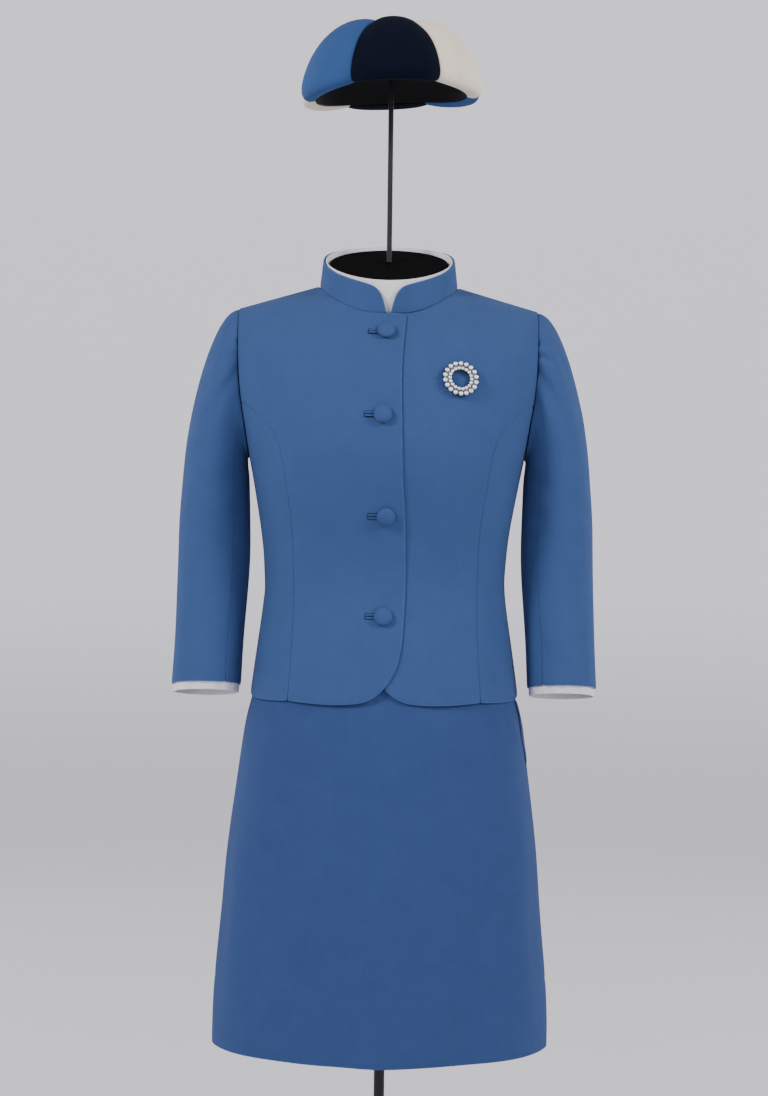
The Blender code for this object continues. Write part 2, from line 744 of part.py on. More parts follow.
def face_frame(place, lift):
    """A frame standing on the front at x and z, its Z axis along the normal."""
    angle, drop = spot(*place)
    normal = face_normal(body_face, angle, drop)
    origin = body_face(angle, drop) + lift * normal
    turn = Vector((0, 0, 1)).rotation_difference(normal).to_matrix().to_4x4()
    return Matrix.Translation(origin) @ turn


def build_buttons():
    reach, start, height = BUTTONHOLE
    for number, place in enumerate(BUTTONS, 1):
        frame = face_frame(place, SEAM_GAP + BUTTON_STAND)
        turned_object("button_%d" % number, BUTTON_PROFILE, "jacket", 20, frame)
        rows = []
        for z in spaced(place.z - height / 2, place.z + height / 2, 2):
            row = []
            for x in spaced(place.x - reach, place.x - start, 3):
                angle, drop = spot(x, z)
                row.append(body_point(angle, drop, -WELT_RISE))
            rows.append(row)
        sheet_object("buttonhole_%d" % number, rows, "jacket", WELT_WALL)


def build_brooch():
    """A ring of beads, computed as one tube whose bead swells and narrows."""
    frame = face_frame(BROOCH_PLACE, BROOCH_LIFT)
    around = BROOCH_BEADS * 4
    sides = 8
    bm = bmesh.new()
    rings = []
    for i in range(around):
        turn = 2 * pi * i / around
        swell = BROOCH_NARROW + (1 - BROOCH_NARROW) * abs(cos(BROOCH_BEADS * turn / 2))
        ring = []
        for k in range(sides):
            roll = 2 * pi * k / sides
            radius = BROOCH_RADII[0] + BROOCH_RADII[1] * swell * cos(roll)
            height = BROOCH_RADII[1] * BROOCH_FLAT * swell * sin(roll)
            point = Vector((radius * cos(turn), radius * sin(turn), height))
            ring.append(bm.verts.new(frame @ point))
        rings.append(ring)
    for i in range(around):
        for k in range(sides):
            a, b = rings[i], rings[(i + 1) % around]
            bm.faces.new((a[k], b[k], b[(k + 1) % sides], a[(k + 1) % sides]))
    bmesh.ops.recalc_face_normals(bm, faces=bm.faces)
    mesh = bpy.data.meshes.new("brooch")
    bm.to_mesh(mesh)
    bm.free()
    mesh.shade_smooth()
    new_mesh_object("brooch", mesh, "silver", parts)


def skirt_face(angle, z):
    share = max(0.0, (HIP_Z - z) / (HIP_Z - SKIRT_HEM_Z))
    squareness = SQUARENESS + (HEM_SQUARENESS - SQUARENESS) * share
    point = ring_point(SKIRT, angle, z, squareness)
    wave = HEM_WAVE * share * cos(HEM_WAVES * angle) * abs(cos(angle))
    return point + wave * Vector((sin(angle), -cos(angle), 0.0))


SKIRT_ROWS = (0.450, 0.503, 0.562, 0.621, 0.680, 0.739, 0.798, 0.838, 0.860, 0.8735,
              0.883, 0.933, 0.973, WAIST_Z - SEAM_GAP)


def skirt_inside(rows):
    """The inner face of a skirt panel, which meets its neighbour squarely."""
    inside = []
    for row in rows:
        line = []
        for i, point in enumerate(row):
            out = Vector((point.x, 0, 0)).normalized()
            if 0 < i < len(row) - 1:
                across = row[i + 1] - row[i - 1]
                out = Vector((across.y, -across.x, 0)).normalized()
                if out.dot(point) < 0:
                    out = -out
            line.append(point - CLOTH * out)
        inside.append(line)
    return inside


def build_skirt():
    half = HALF_GAP_ANGLE
    for name, start, end in (("skirt_front", -pi / 2 + half, pi / 2 - half),
                             ("skirt_back", pi / 2 + half, pi * 3 / 2 - half)):
        angles = spaced(start, end, 18)
        rows = [[skirt_face(angle, z) for angle in angles] for z in SKIRT_ROWS]
        wall_object(name, rows, skirt_inside(rows), "skirt")
    angles = spaced(0, 2 * pi, 32)[:-1]
    heights = (WAIST_Z, WAIST_Z + WAISTBAND_HEIGHT)
    rows = [[ring_point(SKIRT, angle, z) for angle in angles] for z in heights]
    sheet_object("skirt_waistband", rows, "skirt", CLOTH, closed=True)
    lap = []
    lift = Vector((ZIP_LAP_WALL + SEAM_GAP, 0, 0))
    for z in [z for z in SKIRT_ROWS if ZIP_END_Z < z < SIDE_HEM_Z]:
        lap.append([skirt_face(angle, z) + lift for angle in spaced(*ZIP_LAP_ANGLES, 2)])
    sheet_object("skirt_zip_lap", lap, "skirt", ZIP_LAP_WALL)


def build_blouse():
    turns = spaced(0, 2 * pi, 28)[:-1]
    middle, slope, side_rise = BAND_RIM_Z
    rows = []
    for share in BAND_ROWS:
        row = []
        for turn in turns:
            wrapped = turn if turn <= pi else turn - 2 * pi
            seat = body_face(*neck_spot(wrapped))
            x = (BAND_TOP[0] + BAND_FLARE[0] * (1 - share)) * sin(turn)
            y = NECK_CENTRE_Y - (BAND_TOP[1] + BAND_FLARE[1] * (1 - share)) * cos(turn)
            rim = middle - slope * cos(turn) + side_rise * sin(turn) ** 2
            foot = seat.z + BAND_FOOT[0] - BAND_FOOT[1] * max(0.0, cos(turn))
            row.append(Vector((x, y, foot + (rim - foot) * share)))
        rows.append(row)
    sheet_object("blouse_neckband", rows, "blouse", SHIRTING, closed=True)
    build_cuffs()


def build_cuffs():
    count = len(ARMHOLE) - 1
    for side, word in ((1, "left"), (-1, "right")):
        rows = []
        for z in (SLEEVE_HEM_Z - CUFF_SHOW, SLEEVE_HEM_Z + 0.004, SLEEVE_HEM_Z + CUFF_RISE):
            row = []
            for i in range(count):
                face = sleeve_ring(z, i)
                if z < SLEEVE_HEM_Z:
                    face = sleeve_ring(SLEEVE_HEM_Z, i) + Vector((0, 0, z - SLEEVE_HEM_Z))
                turn = radians(ARMHOLE[i].turn)
                inward = Vector((-cos(turn), sin(turn), 0.0))
                row.append(mirrored(face + (CLOTH + CUFF_CLEAR) * inward, side))
            rows.append(row)
        cuff = sheet_object("blouse_cuff_" + word, rows, "blouse", SHIRTING, closed=True)
        cuff.modifiers["Wall"].use_even_offset = False


def rim_lift(x, y, z):
    """How far the worn cap's rim rises (or falls) from level at a point."""
    turn = atan2(x, -y)
    share = min(1.0, max(0.0, (HAT_TILT_END_Z - z) / (HAT_TILT_END_Z - LINING_EDGE_Z)))
    lift = RIM_TILT.all + RIM_TILT.forwards * cos(turn) + RIM_TILT.left * sin(turn)
    return share * (lift + RIM_TILT.arch * cos(2 * turn))


def build_hat():
    names = ("hat_navy", "hat_cream", "hat_blue")
    half_turn = pi / HAT_GORES
    for gore in range(HAT_GORES):
        middle = HAT_TURN + 2 * half_turn * gore
        rows = []
        for row in HAT:
            gap = HALF_GAP / row.radius
            line = []
            for beta in spaced(-1, 1, GORE_STEPS):
                puff = max(0.0, 1 - beta * beta) ** PUFF_POWER
                turn = middle + beta * (half_turn - gap)
                radius = row.radius + row.puff_out * puff
                z = row.z + row.puff_up * puff
                x, y = radius * sin(turn), -radius * cos(turn) * HAT_DEPTH
                line.append(Vector((x, y, z + rim_lift(x, y, z))))
            rows.append(line)
        sheet_object("hat_gore_%d" % (gore + 1), rows, names[gore % 3], HAT_WALL)
    fall = LINING_TOP_Z - LINING_EDGE_Z
    turns = spaced(0, pi / 2, 5)
    dome = [(LINING_RADIUS * sin(t), LINING_EDGE_Z + fall * cos(t)) for t in turns]
    inner = [(max(r - LINING_WALL, 0.0), z - LINING_WALL) for r, z in reversed(dome)]
    inner[0] = (LINING_RADIUS - LINING_WALL, LINING_EDGE_Z)
    turned_object("hat_lining_level", dome + inner, "lining", 24)
    level = bpy.data.objects["hat_lining_level"]
    graph = bpy.context.evaluated_depsgraph_get()
    mesh = bpy.data.meshes.new_from_object(level.evaluated_get(graph))
    bpy.data.objects.remove(level)
    for vert in mesh.vertices:
        vert.co.y *= HAT_DEPTH
        vert.co.z += rim_lift(*vert.co)
    new_mesh_object("hat_lining", mesh, "lining", parts)
    drop = LINING_WALL + SEAM_GAP * 2
    cap = [(r * HAT_DEPTH, z - drop) for r, z in dome[:2]]
    low_z = cap[-1][1] - REST_HEIGHT
    profile = cap + [(cap[-1][0], low_z), (0.0, low_z)]
    turned_object("hat_rest", profile, "metal", 24)
    return low_z


def form_columns():
    """Section angles of the form, with the girth at which each one ends."""
    quarter = []
    for turn in (0, 12, 24, 38, 54, 72):
        angle, drop = neck_spot(radians(turn))
        quarter.append((angle, drop * FORM_NECK_DEEPER))
    quarter.append((NECK_ANGLE, 0.0))
    for angle in spaced(NECK_ANGLE, TIP_ANGLE, 3)[1:]:
        quarter.append((angle, 0.0))
    for index in (2, 4, 6, 8, 10):
        quarter.append(armhole_spot(ARMHOLE[index]))
    back = []
    for angle, drop in reversed(quarter[:-1]):
        back.append((pi - angle, drop))
    back = [(a, d if a < pi - NECK_ANGLE else d * BACK_NECK_DROP / FRONT_NECK_DROP)
            for a, d in back]
    return quarter + back


def build_form():
    half = form_columns()
    columns = half + [(-angle, drop) for angle, drop in reversed(half[1:-1])]
    bm = bmesh.new()
    grid = []
    for share in spaced(0, 1, FORM_ROWS):
        row = []
        for angle, drop in columns:
            low = girth_drop(body_face(angle, 0.5).x, FORM_BOTTOM_Z)
            here = drop + (low - drop) * share
            row.append(bm.verts.new(body_point(angle, here, FORM_INSET)))
        grid.append(row)
    count = len(columns)
    for high, low in zip(grid, grid[1:]):
        for i in range(count):
            j = (i + 1) % count
            bm.faces.new((high[i], low[i], low[j], high[j]))
    for vert in grid[-1]:
        vert.co.z = FORM_BOTTOM_Z
    bm.faces.new(reversed(grid[-1]))
    bmesh.ops.remove_doubles(bm, verts=bm.verts, dist=0.00002)
    loops = {}
    for edge in (e for e in bm.edges if e.is_boundary):
        middle = (edge.verts[0].co + edge.verts[1].co) / 2
        where = "left" if middle.x > 0 else "right"
        if abs(middle.x) < FORM_NECK_REACH:
            where = "neck"
        loops.setdefault(where, []).append(edge)
    for where in ("left", "right"):
        bmesh.ops.contextual_create(bm, geom=loops[where])
    edges = loops["neck"]
    width, depth = FORM_NECK
    for size, front, back in FORM_NECK_RINGS:
        made = bmesh.ops.extrude_edge_only(bm, edges=edges)["geom"]
        verts = [g for g in made if isinstance(g, bmesh.types.BMVert)]
        edges = [g for g in made if isinstance(g, bmesh.types.BMEdge)]
        for vert in verts:
            turn = atan2(vert.co.x / width, -(vert.co.y - NECK_CENTRE_Y) / depth)
            across, forwards = size * sin(turn), size * cos(turn)
            z = (front + back) / 2 - (back - front) / 2 * forwards
            z += FORM_NECK_SIDE_RISE * across ** 2
            vert.co = Vector((width * across, NECK_CENTRE_Y - depth * forwards, z))
    bmesh.ops.contextual_create(bm, geom=edges)
    bmesh.ops.recalc_face_normals(bm, faces=bm.faces)
    mesh = bpy.data.meshes.new("dress_form")
    bm.to_mesh(mesh)
    bm.free()
    mesh.shade_smooth()
    mesh.set_sharp_from_angle(angle=radians(40))
    new_mesh_object("dress_form", mesh, "form", parts)


def rod_object(name, radius, low, high, steps):
    profile = [(0.0, high), (radius, high), (radius, low), (0.0, low)]
    turned_object(name, profile, "metal", steps)


def build_stand(rest_z):
    profile = [(0.0, BASE_HEIGHT), (BASE_RADIUS - BASE_EDGE, BASE_HEIGHT)]
    profile += [(BASE_RADIUS, BASE_HEIGHT - BASE_EDGE), (BASE_RADIUS, 0.0), (0.0, 0.0)]
    turned_object("base_plate", profile, "metal", 48)
    rod_object("pole", POLE_RADIUS, BASE_HEIGHT + SEAM_GAP, FORM_BOTTOM_Z - SEAM_GAP, 16)
    rod_object("hat_rod", ROD_RADIUS, ROD_FOOT_Z, rest_z - SEAM_GAP, 12)


def make_material(name, finish):
    material = bpy.data.materials.new(name)
    material.use_nodes = True
    shader = material.node_tree.nodes["Principled BSDF"]
    shader.inputs["Base Color"].default_value = (*finish.colour, 1.0)
    shader.inputs["Roughness"].default_value = finish.roughness
    shader.inputs["Metallic"].default_value = finish.metallic
    return material


for old in list(bpy.data.objects):
    bpy.data.objects.remove(old)
parts = bpy.data.collections.new("hostess_uniform")
bpy.context.scene.collection.children.link(parts)
materials = {name: make_material(name, finish) for name, finish in FINISHES.items()}
build_jacket()
build_buttons()
build_brooch()
build_skirt()
build_blouse()
rest_z = build_hat()
build_form()
build_stand(rest_z)
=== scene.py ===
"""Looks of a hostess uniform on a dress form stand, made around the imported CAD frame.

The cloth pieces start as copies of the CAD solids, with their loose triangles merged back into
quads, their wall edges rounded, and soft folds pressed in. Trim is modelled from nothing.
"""

import functools
import math

import bmesh
import bpy
import numpy as np
from bpy.props import FloatProperty, FloatVectorProperty, IntProperty, PointerProperty
from bpy.types import Operator, Panel, PropertyGroup
from mathutils import Matrix, Vector
from mathutils.kdtree import KDTree


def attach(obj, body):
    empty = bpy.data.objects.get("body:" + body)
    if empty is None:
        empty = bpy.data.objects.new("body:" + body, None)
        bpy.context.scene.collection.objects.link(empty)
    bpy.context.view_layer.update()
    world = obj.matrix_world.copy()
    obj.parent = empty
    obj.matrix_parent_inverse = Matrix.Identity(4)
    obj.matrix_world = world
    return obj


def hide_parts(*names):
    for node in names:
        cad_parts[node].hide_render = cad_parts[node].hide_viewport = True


bl_info = {
    "name": "Hostess Uniform on a Dress Form Stand",
    "version": (1, 0, 0),
    "blender": (4, 5, 0),
    "location": "View3D > Sidebar > Uniform",
    "description": "Dresses the packed frame of a uniform with cloth, trim, stand and studio",
    "category": "Object",
}

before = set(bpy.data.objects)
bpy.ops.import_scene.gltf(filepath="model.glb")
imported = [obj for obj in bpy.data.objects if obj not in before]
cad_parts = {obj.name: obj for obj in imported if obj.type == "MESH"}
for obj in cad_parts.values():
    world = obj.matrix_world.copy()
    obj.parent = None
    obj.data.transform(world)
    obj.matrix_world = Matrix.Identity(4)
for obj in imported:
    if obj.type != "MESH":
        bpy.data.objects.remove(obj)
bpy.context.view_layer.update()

# Photograph frame, and the camera that matches it
PHOTO_ROWS = 1096
METRES_PER_PIXEL = 0.0012267
CAMERA_DISTANCE = 2.7
CAMERA_HEIGHT = 1.058
CAMERA_SIDE = -0.002
CAMERA_ROLL = math.radians(0.716)
SENSOR_WIDTH = 36.0                  # millimetres

FULL_TURN = 2 * math.pi
GIRTH_RADIUS = 0.15                  # of the body and of a sleeve, to unroll the cloth
SLEEVE_RADIUS = 0.048


# ---------------------------------------- settings


class UniformCloth(PropertyGroup):
    """Sizes and colours of the cloth."""

    jacket_colour: FloatVectorProperty(
        name="Jacket Colour", description="Wool of the jacket", subtype="COLOR",
        size=3, min=0, max=1, default=(0.0345, 0.0715, 0.187))
    skirt_colour: FloatVectorProperty(
        name="Skirt Colour", description="Wool of the skirt", subtype="COLOR",
        size=3, min=0, max=1, default=(0.0275, 0.0565, 0.160))
    shirting_colour: FloatVectorProperty(
        name="Shirting Colour", description="White cotton of the band and cuffs", subtype="COLOR",
        size=3, min=0, max=1, default=(0.68, 0.68, 0.69))
    navy_colour: FloatVectorProperty(
        name="Cap Navy", description="Dark gores of the cap", subtype="COLOR",
        size=3, min=0, max=1, default=(0.0018, 0.0034, 0.0108))
    cream_colour: FloatVectorProperty(
        name="Cap Cream", description="Pale gores of the cap", subtype="COLOR",
        size=3, min=0, max=1, default=(0.78, 0.68, 0.54))
    blue_colour: FloatVectorProperty(
        name="Cap Blue", description="Blue gores of the cap", subtype="COLOR",
        size=3, min=0, max=1, default=(0.0255, 0.070, 0.196))
    thread: FloatProperty(
        name="Thread Pitch", description="Distance from one thread of the weave to the next",
        subtype="DISTANCE", unit="LENGTH", min=0.0002, max=0.003, default=0.0006)
    edge_round: FloatProperty(
        name="Edge Rounding", description="Rounding of a pressed cloth edge",
        subtype="DISTANCE", unit="LENGTH", min=0.0001, max=0.0008, default=0.00055)
    fold_strength: FloatProperty(
        name="Fold Strength", description="Scales the depth of every fold",
        subtype="FACTOR", min=0, max=2, default=1)


class UniformTrim(PropertyGroup):
    """Sizes of the buttons and the brooch."""

    button_radius: FloatProperty(
        name="Button Radius", description="Half the width of a covered button",
        subtype="DISTANCE", unit="LENGTH", min=0.005, max=0.02, default=0.0108)
    button_rise: FloatProperty(
        name="Button Rise", description="Height of the dome above the button's rim",
        subtype="DISTANCE", unit="LENGTH", min=0.001, max=0.01, default=0.0046)
    bead_count: IntProperty(
        name="Brooch Beads", description="Beads around the ring brooch", min=6, max=32, default=18)
    bead_radius: FloatProperty(
        name="Bead Radius", description="Radius of a bead of the brooch",
        subtype="DISTANCE", unit="LENGTH", min=0.001, max=0.006, default=0.0029)


class UniformStudio(PropertyGroup):
    """Floor, light and view."""

    backdrop_colour: FloatVectorProperty(
        name="Backdrop Colour", description="Pale floor and backdrop", subtype="COLOR",
        size=3, min=0, max=1, default=(0.618, 0.610, 0.652))
    backdrop_glow: FloatProperty(
        name="Backdrop Glow", description="Light that the backdrop gives of itself",
        min=0, max=2, default=0.635)
    key_power: FloatProperty(
        name="Key Power", description="Power of the two key lights, before each one's share",
        subtype="POWER", unit="POWER", min=0, max=2000, default=90)
    fill_power: FloatProperty(
        name="Fill Power", description="Power of the fill lights, before each one's share",
        subtype="POWER", unit="POWER", min=0, max=2000, default=40)


def settings(name):
    return getattr(bpy.context.scene, name)


# ---------------------------------------- cloth meshes

MERGE = 0.00001                      # vertices nearer than this are one
WALL_ANGLE = math.radians(50)        # a sharper edge than this is a cut edge of the cloth
SEAM_REACH = 0.0055                  # how far from a cut edge the cloth is pulled in
SEAM_PULL = 0.0003
SEAM_PUSH = 0.00016                  # each side of a seam closes the CAD's gap by this
ARMHOLE_PUSH = 0.0005                # and each sleeve's top edge closes its wider gap by this
COLLAR_PUSH = 0.0008                 # the same for the collar's seam, which curves most
ARMHOLE_X, ARMHOLE_Z = 0.186, 1.12   # that edge lies inside this half width, above this height
WALL_WIDTH = 0.0027                  # faces narrower than this are cut walls of the cloth
RIM_STEP = 0.003                     # spacing of the points that stand for a cut edge
SEWN_REACH = 0.0024                  # a cut edge with another one this near is a seam
RELAX_REACH = 0.004                  # cloth this near a cut edge keeps its place
RELAX_LEVEL, RELAX_ROUNDS = 3, 22    # pieces with this many levels of subdivision are evened
RELAX_FACTORS = (0.5, -0.53)         # smoothing in, then out again, keeps the panel's size
STITCH_PLACE = 0.0030                # a hem's stitched line, from the cut edge
STITCH_WIDTH = 0.0008
HEM_STITCH = 0.0002                  # and how deep it lies
LAP_SINK = 0.0004                    # how far the zip's lap is pressed onto the skirt
QUAD_FACE_ANGLE = math.radians(80)   # triangles are joined over edges flatter than this
SAME_WAY = 0.7                       # walls with normals nearer than this face the same way
JOIN_PULLS = (1.5, 1.0, 2.0, 1.25, 1.75)   # tried in turn

# Middle line of a sleeve: height, x and y
SLEEVE_MIDDLE = (
    (0.870, 0.2165, -0.0240), (0.890, 0.2163, -0.0210), (0.945, 0.2140, -0.0110),
    (0.994, 0.2120, -0.0030), (1.043, 0.2101, 0.0020), (1.092, 0.2100, 0.0025),
    (1.141, 0.2088, 0.0010), (1.250, 0.2030, 0.0000), (1.360, 0.1950, 0.0000),
)


def middle_at(side, height):
    """The middle of the body (side 0) or of a sleeve (side -1 or 1) at a height."""
    if side == 0:
        return 0.0, 0.0
    rows = SLEEVE_MIDDLE
    for low, high in zip(rows, rows[1:]):
        if height <= high[0]:
            break
    share = min(max((height - low[0]) / (high[0] - low[0]), 0), 1)
    x, y = (low[i] + (high[i] - low[i]) * share for i in (1, 2))
    return side * x, y


def cloth_spot(point, side):
    """Where a point lies on the unrolled cloth: along the girth from the front, and its height."""
    x, y = middle_at(side, point.z)
    turn = math.atan2(point.x - x, -(point.y - y))
    return turn, point.z, Vector((point.x - x, point.y - y, 0))


FOLD_WANDER = 0.3                    # how far a fold's middle strays, in its widths
FOLD_STRAY = 5.1                     # and how fast, in radians from its start to its end
FOLD_SEED = 37                       # starts each fold's straying elsewhere
FOLD_REACH = 4                       # no cloth moves further out than this, in widths
FOLD_START, FOLD_FLARE = 0.75, 0.5   # a fold's width at its start, and how much it grows
FOLD_END = 0.8                       # how soon the depth fades towards both ends
RIDGE_PLACE = 1.7                    # the ridge beside the trough, in widths


class Fold:
    """A soft trough with a lower ridge beside it, from one spot of the cloth to another."""

    def __init__(self, side, start, end, width, depth, ridge=0.5):
        self.side = side
        self.radius = GIRTH_RADIUS if side == 0 else SLEEVE_RADIUS
        self.start = (math.radians(start[0]) * self.radius, start[1])
        self.end = (math.radians(end[0]) * self.radius, end[1])
        self.width, self.depth, self.ridge = width, depth, ridge

    def height_at(self, turn, z):
        """How far the fold moves the cloth outwards there."""
        across, along = self.end[0] - self.start[0], self.end[1] - self.start[1]
        length = math.hypot(across, along)
        span = FULL_TURN * self.radius
        u = turn * self.radius - self.start[0]
        u -= span * round((u - across / 2) / span)
        v = z - self.start[1]
        share = (u * across + v * along) / length ** 2
        if not 0 < share < 1:
            return 0.0
        off = (u * along - v * across) / length
        stray = math.sin(FOLD_STRAY * share + FOLD_SEED * self.start[0])
        off += FOLD_WANDER * self.width * stray
        off /= self.width * (FOLD_START + FOLD_FLARE * share)
        if abs(off) > FOLD_REACH:
            return 0.0
        fade = math.sin(math.pi * share) ** FOLD_END
        shape = -math.exp(-off * off) + self.ridge * math.exp(-(off - RIDGE_PLACE) ** 2)
        return self.depth * fade * shape


def points_along(edges):
    """Points along the cut edges, a few millimetres apart."""
    points = []
    for edge in edges:
        start, end = (vert.co for vert in edge.verts)
        steps = max(1, math.ceil((end - start).length / RIM_STEP))
        points += [start.lerp(end, step / steps) for step in range(steps + 1)]
    return points


def search_tree(points):
    tree = KDTree(len(points))
    for index, point in enumerate(points):
        tree.insert(point, index)
    tree.balance()
    return tree


@functools.cache
def every_rim():
    """A search tree of the cut edges of all cloth nodes, and the node that each point is on."""
    points, owners = [], []
    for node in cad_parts:
        if node not in CUTS and node.rsplit("_", 1)[0] not in CUTS:
            continue
        bm = bmesh.new()
        bm.from_mesh(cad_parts[node].data)
        bmesh.ops.remove_doubles(bm, verts=bm.verts, dist=MERGE)
        bm.normal_update()
        points += points_along(edge for edge in bm.edges if edge.calc_face_angle() > WALL_ANGLE)
        owners += [node] * (len(points) - len(owners))
        bm.free()
    return search_tree(points), owners


def sewn_points(node, points):
    """Which of a piece's rim points lie beside another piece's cut edge."""
    tree, owners = every_rim()
    return [any(owners[index] != node for _, index, _ in tree.find_range(point, SEWN_REACH))
            for point in points]


def wall_bmesh(node):
    """A copy of a CAD node's mesh, merged and turned back into quads.

    The joining is tried with several pulls towards a regular grid, and the one that leaves the
    fewest triangles is kept.
    """
    best, fewest = None, math.inf
    for pull in JOIN_PULLS:
        bm = bmesh.new()
        bm.from_mesh(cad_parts[node].data)
        bmesh.ops.remove_doubles(bm, verts=bm.verts, dist=MERGE)
        bmesh.ops.join_triangles(
            bm, faces=bm.faces, angle_face_threshold=QUAD_FACE_ANGLE,
            angle_shape_threshold=math.pi, topology_influence=pull)
        left = sum(len(face.verts) == 3 for face in bm.faces)
        left += sum(len(vert.link_edges) != 4 for vert in bm.verts)
        worse = bm
        if left < fewest:
            worse, best, fewest = best, bm, left
        if worse:
            worse.free()
    return best


def is_wall(face):
    """Whether a face is part of the cloth's cut edge."""
    return min(edge.calc_length() for edge in face.edges) < WALL_WIDTH


def beside_wall(edge):
    return any(is_wall(face) for face in edge.link_faces)


def close_seams(rim, side, push):
    """Moves the cut walls outwards a little, so that neighbours meet with no daylight between."""
    moves = {}
    for edge in rim:
        for face in edge.link_faces:
            if is_wall(face):
                for vert in face.verts:
                    moves.setdefault(vert, {})[face.index] = face.normal.copy()
    for vert, normals in moves.items():
        ways = []
        for normal in normals.values():
            if all(normal.dot(way) < SAME_WAY for way in ways):
                ways.append(normal)
        at_armhole = side and abs(vert.co.x) < ARMHOLE_X and vert.co.z > ARMHOLE_Z
        vert.co += sum(ways, Vector()) * (ARMHOLE_PUSH if at_armhole else push)


def round_edges(bm, edges, offset, segments=1):
    bmesh.ops.bevel(bm, geom=edges, offset=offset, offset_type="OFFSET", segments=segments,
                    profile=0.5, affect="EDGES", material=-1)


def smooth_mesh(bm, levels):
    """The bmesh as a mesh with that many levels of subdivision applied."""
    mesh = bpy.data.meshes.new("work")
    bm.to_mesh(mesh)
    bm.free()
    worker = bpy.data.objects.new("work", mesh)
    bpy.context.scene.collection.objects.link(worker)
    subdivision = worker.modifiers.new("Smooth", "SUBSURF")
    subdivision.levels = subdivision.render_levels = levels
    graph = bpy.context.evaluated_depsgraph_get()
    made = bpy.data.meshes.new_from_object(worker.evaluated_get(graph))
    bpy.data.objects.remove(worker)
    bpy.data.meshes.remove(mesh)
    return made


def finish_piece(name, mesh, material, replaced=()):
    """Makes a mesh a piece of the object, which rides on the stand and stands for CAD nodes."""
    mesh.name = name
    mesh.materials.clear()
    mesh.materials.append(material)
    mesh.shade_smooth()
    piece = bpy.data.objects.new(name, mesh)
    bpy.context.scene.collection.objects.link(piece)
    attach(piece, "root")
    if replaced:
        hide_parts(*replaced)
    return piece


def unroll(mesh, side):
    """Writes the UV map 'cloth' in metres: along the girth, and up."""
    layer = mesh.uv_layers.new(name="cloth")
    radius = GIRTH_RADIUS if side == 0 else SLEEVE_RADIUS
    spots = [cloth_spot(vert.co, side)[:2] for vert in mesh.vertices]
    for face in mesh.polygons:
        first = spots[face.vertices[0]][0]
        for loop in face.loop_indices:
            turn, z = spots[mesh.loops[loop].vertex_index]
            turn -= FULL_TURN * round((turn - first) / FULL_TURN)
            layer.data[loop].uv = (turn * radius, z)


def relaxed(mesh, tree):
    """Evens out the panel's curve away from its cut edges."""
    bm = bmesh.new()
    bm.from_mesh(mesh)
    inside = [vert for vert in bm.verts if tree.find(vert.co)[2] > RELAX_REACH]
    for factor in RELAX_FACTORS * RELAX_ROUNDS:
        bmesh.ops.smooth_vert(
            bm, verts=inside, factor=factor, use_axis_x=True, use_axis_y=True, use_axis_z=True)
    bm.to_mesh(mesh)
    bm.free()


def cloth_piece(node, slot, side=0, levels=2, folds=(), waves=None, rounding=None, stitch=0.0,
                push=SEAM_PUSH, sink=0.0):
    """A CAD node's cloth with rounded cut edges, pulled-in seams, folds and a UV map.

    Its attribute 'rim' is 1 at a seam and 'edge' is 1 at a free edge, and both fade inwards; the
    wool paints shade along 'rim' and a highlight along 'edge'.
    """
    cloth = settings("uniform_cloth")
    bm = wall_bmesh(node)
    bm.normal_update()
    rim = [edge for edge in bm.edges
           if edge.calc_face_angle() > WALL_ANGLE and (rounding or beside_wall(edge))]
    points = points_along(rim)
    tree, sewn = search_tree(points), sewn_points(node, points)
    if rounding is None:
        seams = [edge for edge in rim
                 if all(sewn[tree.find(vert.co)[1]] for vert in edge.verts)]
        close_seams(seams, side, push)
    round_edges(bm, rim, rounding or cloth.edge_round)
    mesh = smooth_mesh(bm, levels)
    if levels == RELAX_LEVEL:
        relaxed(mesh, tree)
    count = len(mesh.vertices)
    marks = {"rim": np.zeros(count), "edge": np.zeros(count)}
    for vert in mesh.vertices:
        turn, z, out = cloth_spot(vert.co, side)
        _, index, apart = tree.find(vert.co)
        near = max(0.0, 1 - apart / SEAM_REACH)
        marks["rim" if sewn[index] else "edge"][vert.index] = near
        move = -SEAM_PULL * near * near - sink
        move -= stitch * math.exp(-((apart - STITCH_PLACE) / STITCH_WIDTH) ** 2)
        for fold in folds:
            if fold.side == side:
                move += cloth.fold_strength * fold.height_at(turn, z)
        if waves:
            move += cloth.fold_strength * waves(turn, z)
        if out.length > 0:
            vert.co += out.normalized() * move
    for name, values in marks.items():
        mesh.attributes.new(name, "FLOAT", "POINT").data.foreach_set("value", values)
    unroll(mesh, side)
    return finish_piece(node + "_cloth", mesh, finish(slot), (node,))


# ---------------------------------------- materials


class Wire:
    """A node's output socket, which Python's arithmetic turns into Math nodes."""

    def __init__(self, shader, socket):
        self.shader, self.socket = shader, socket

    def maths(self, operation, *values):
        return self.shader.node("ShaderNodeMath", {"operation": operation}, dict(enumerate(values)))

    def __add__(self, other):
        return self.maths("ADD", self, other)

    def __sub__(self, other):
        return self.maths("SUBTRACT", self, other)

    def __mul__(self, other):
        return self.maths("MULTIPLY", self, other)

    def __rsub__(self, other):
        return self.maths("SUBTRACT", other, self)

    __radd__ = __add__
    __rmul__ = __mul__

    def sine(self):
        return self.maths("SINE", self)

    def clear(self, low, high):
        """0 below low, 1 above high, and smooth between."""
        return self.shader.node(
            "ShaderNodeMapRange", {"interpolation_type": "SMOOTHSTEP"},
            {"Value": self, "From Min": low, "From Max": high})


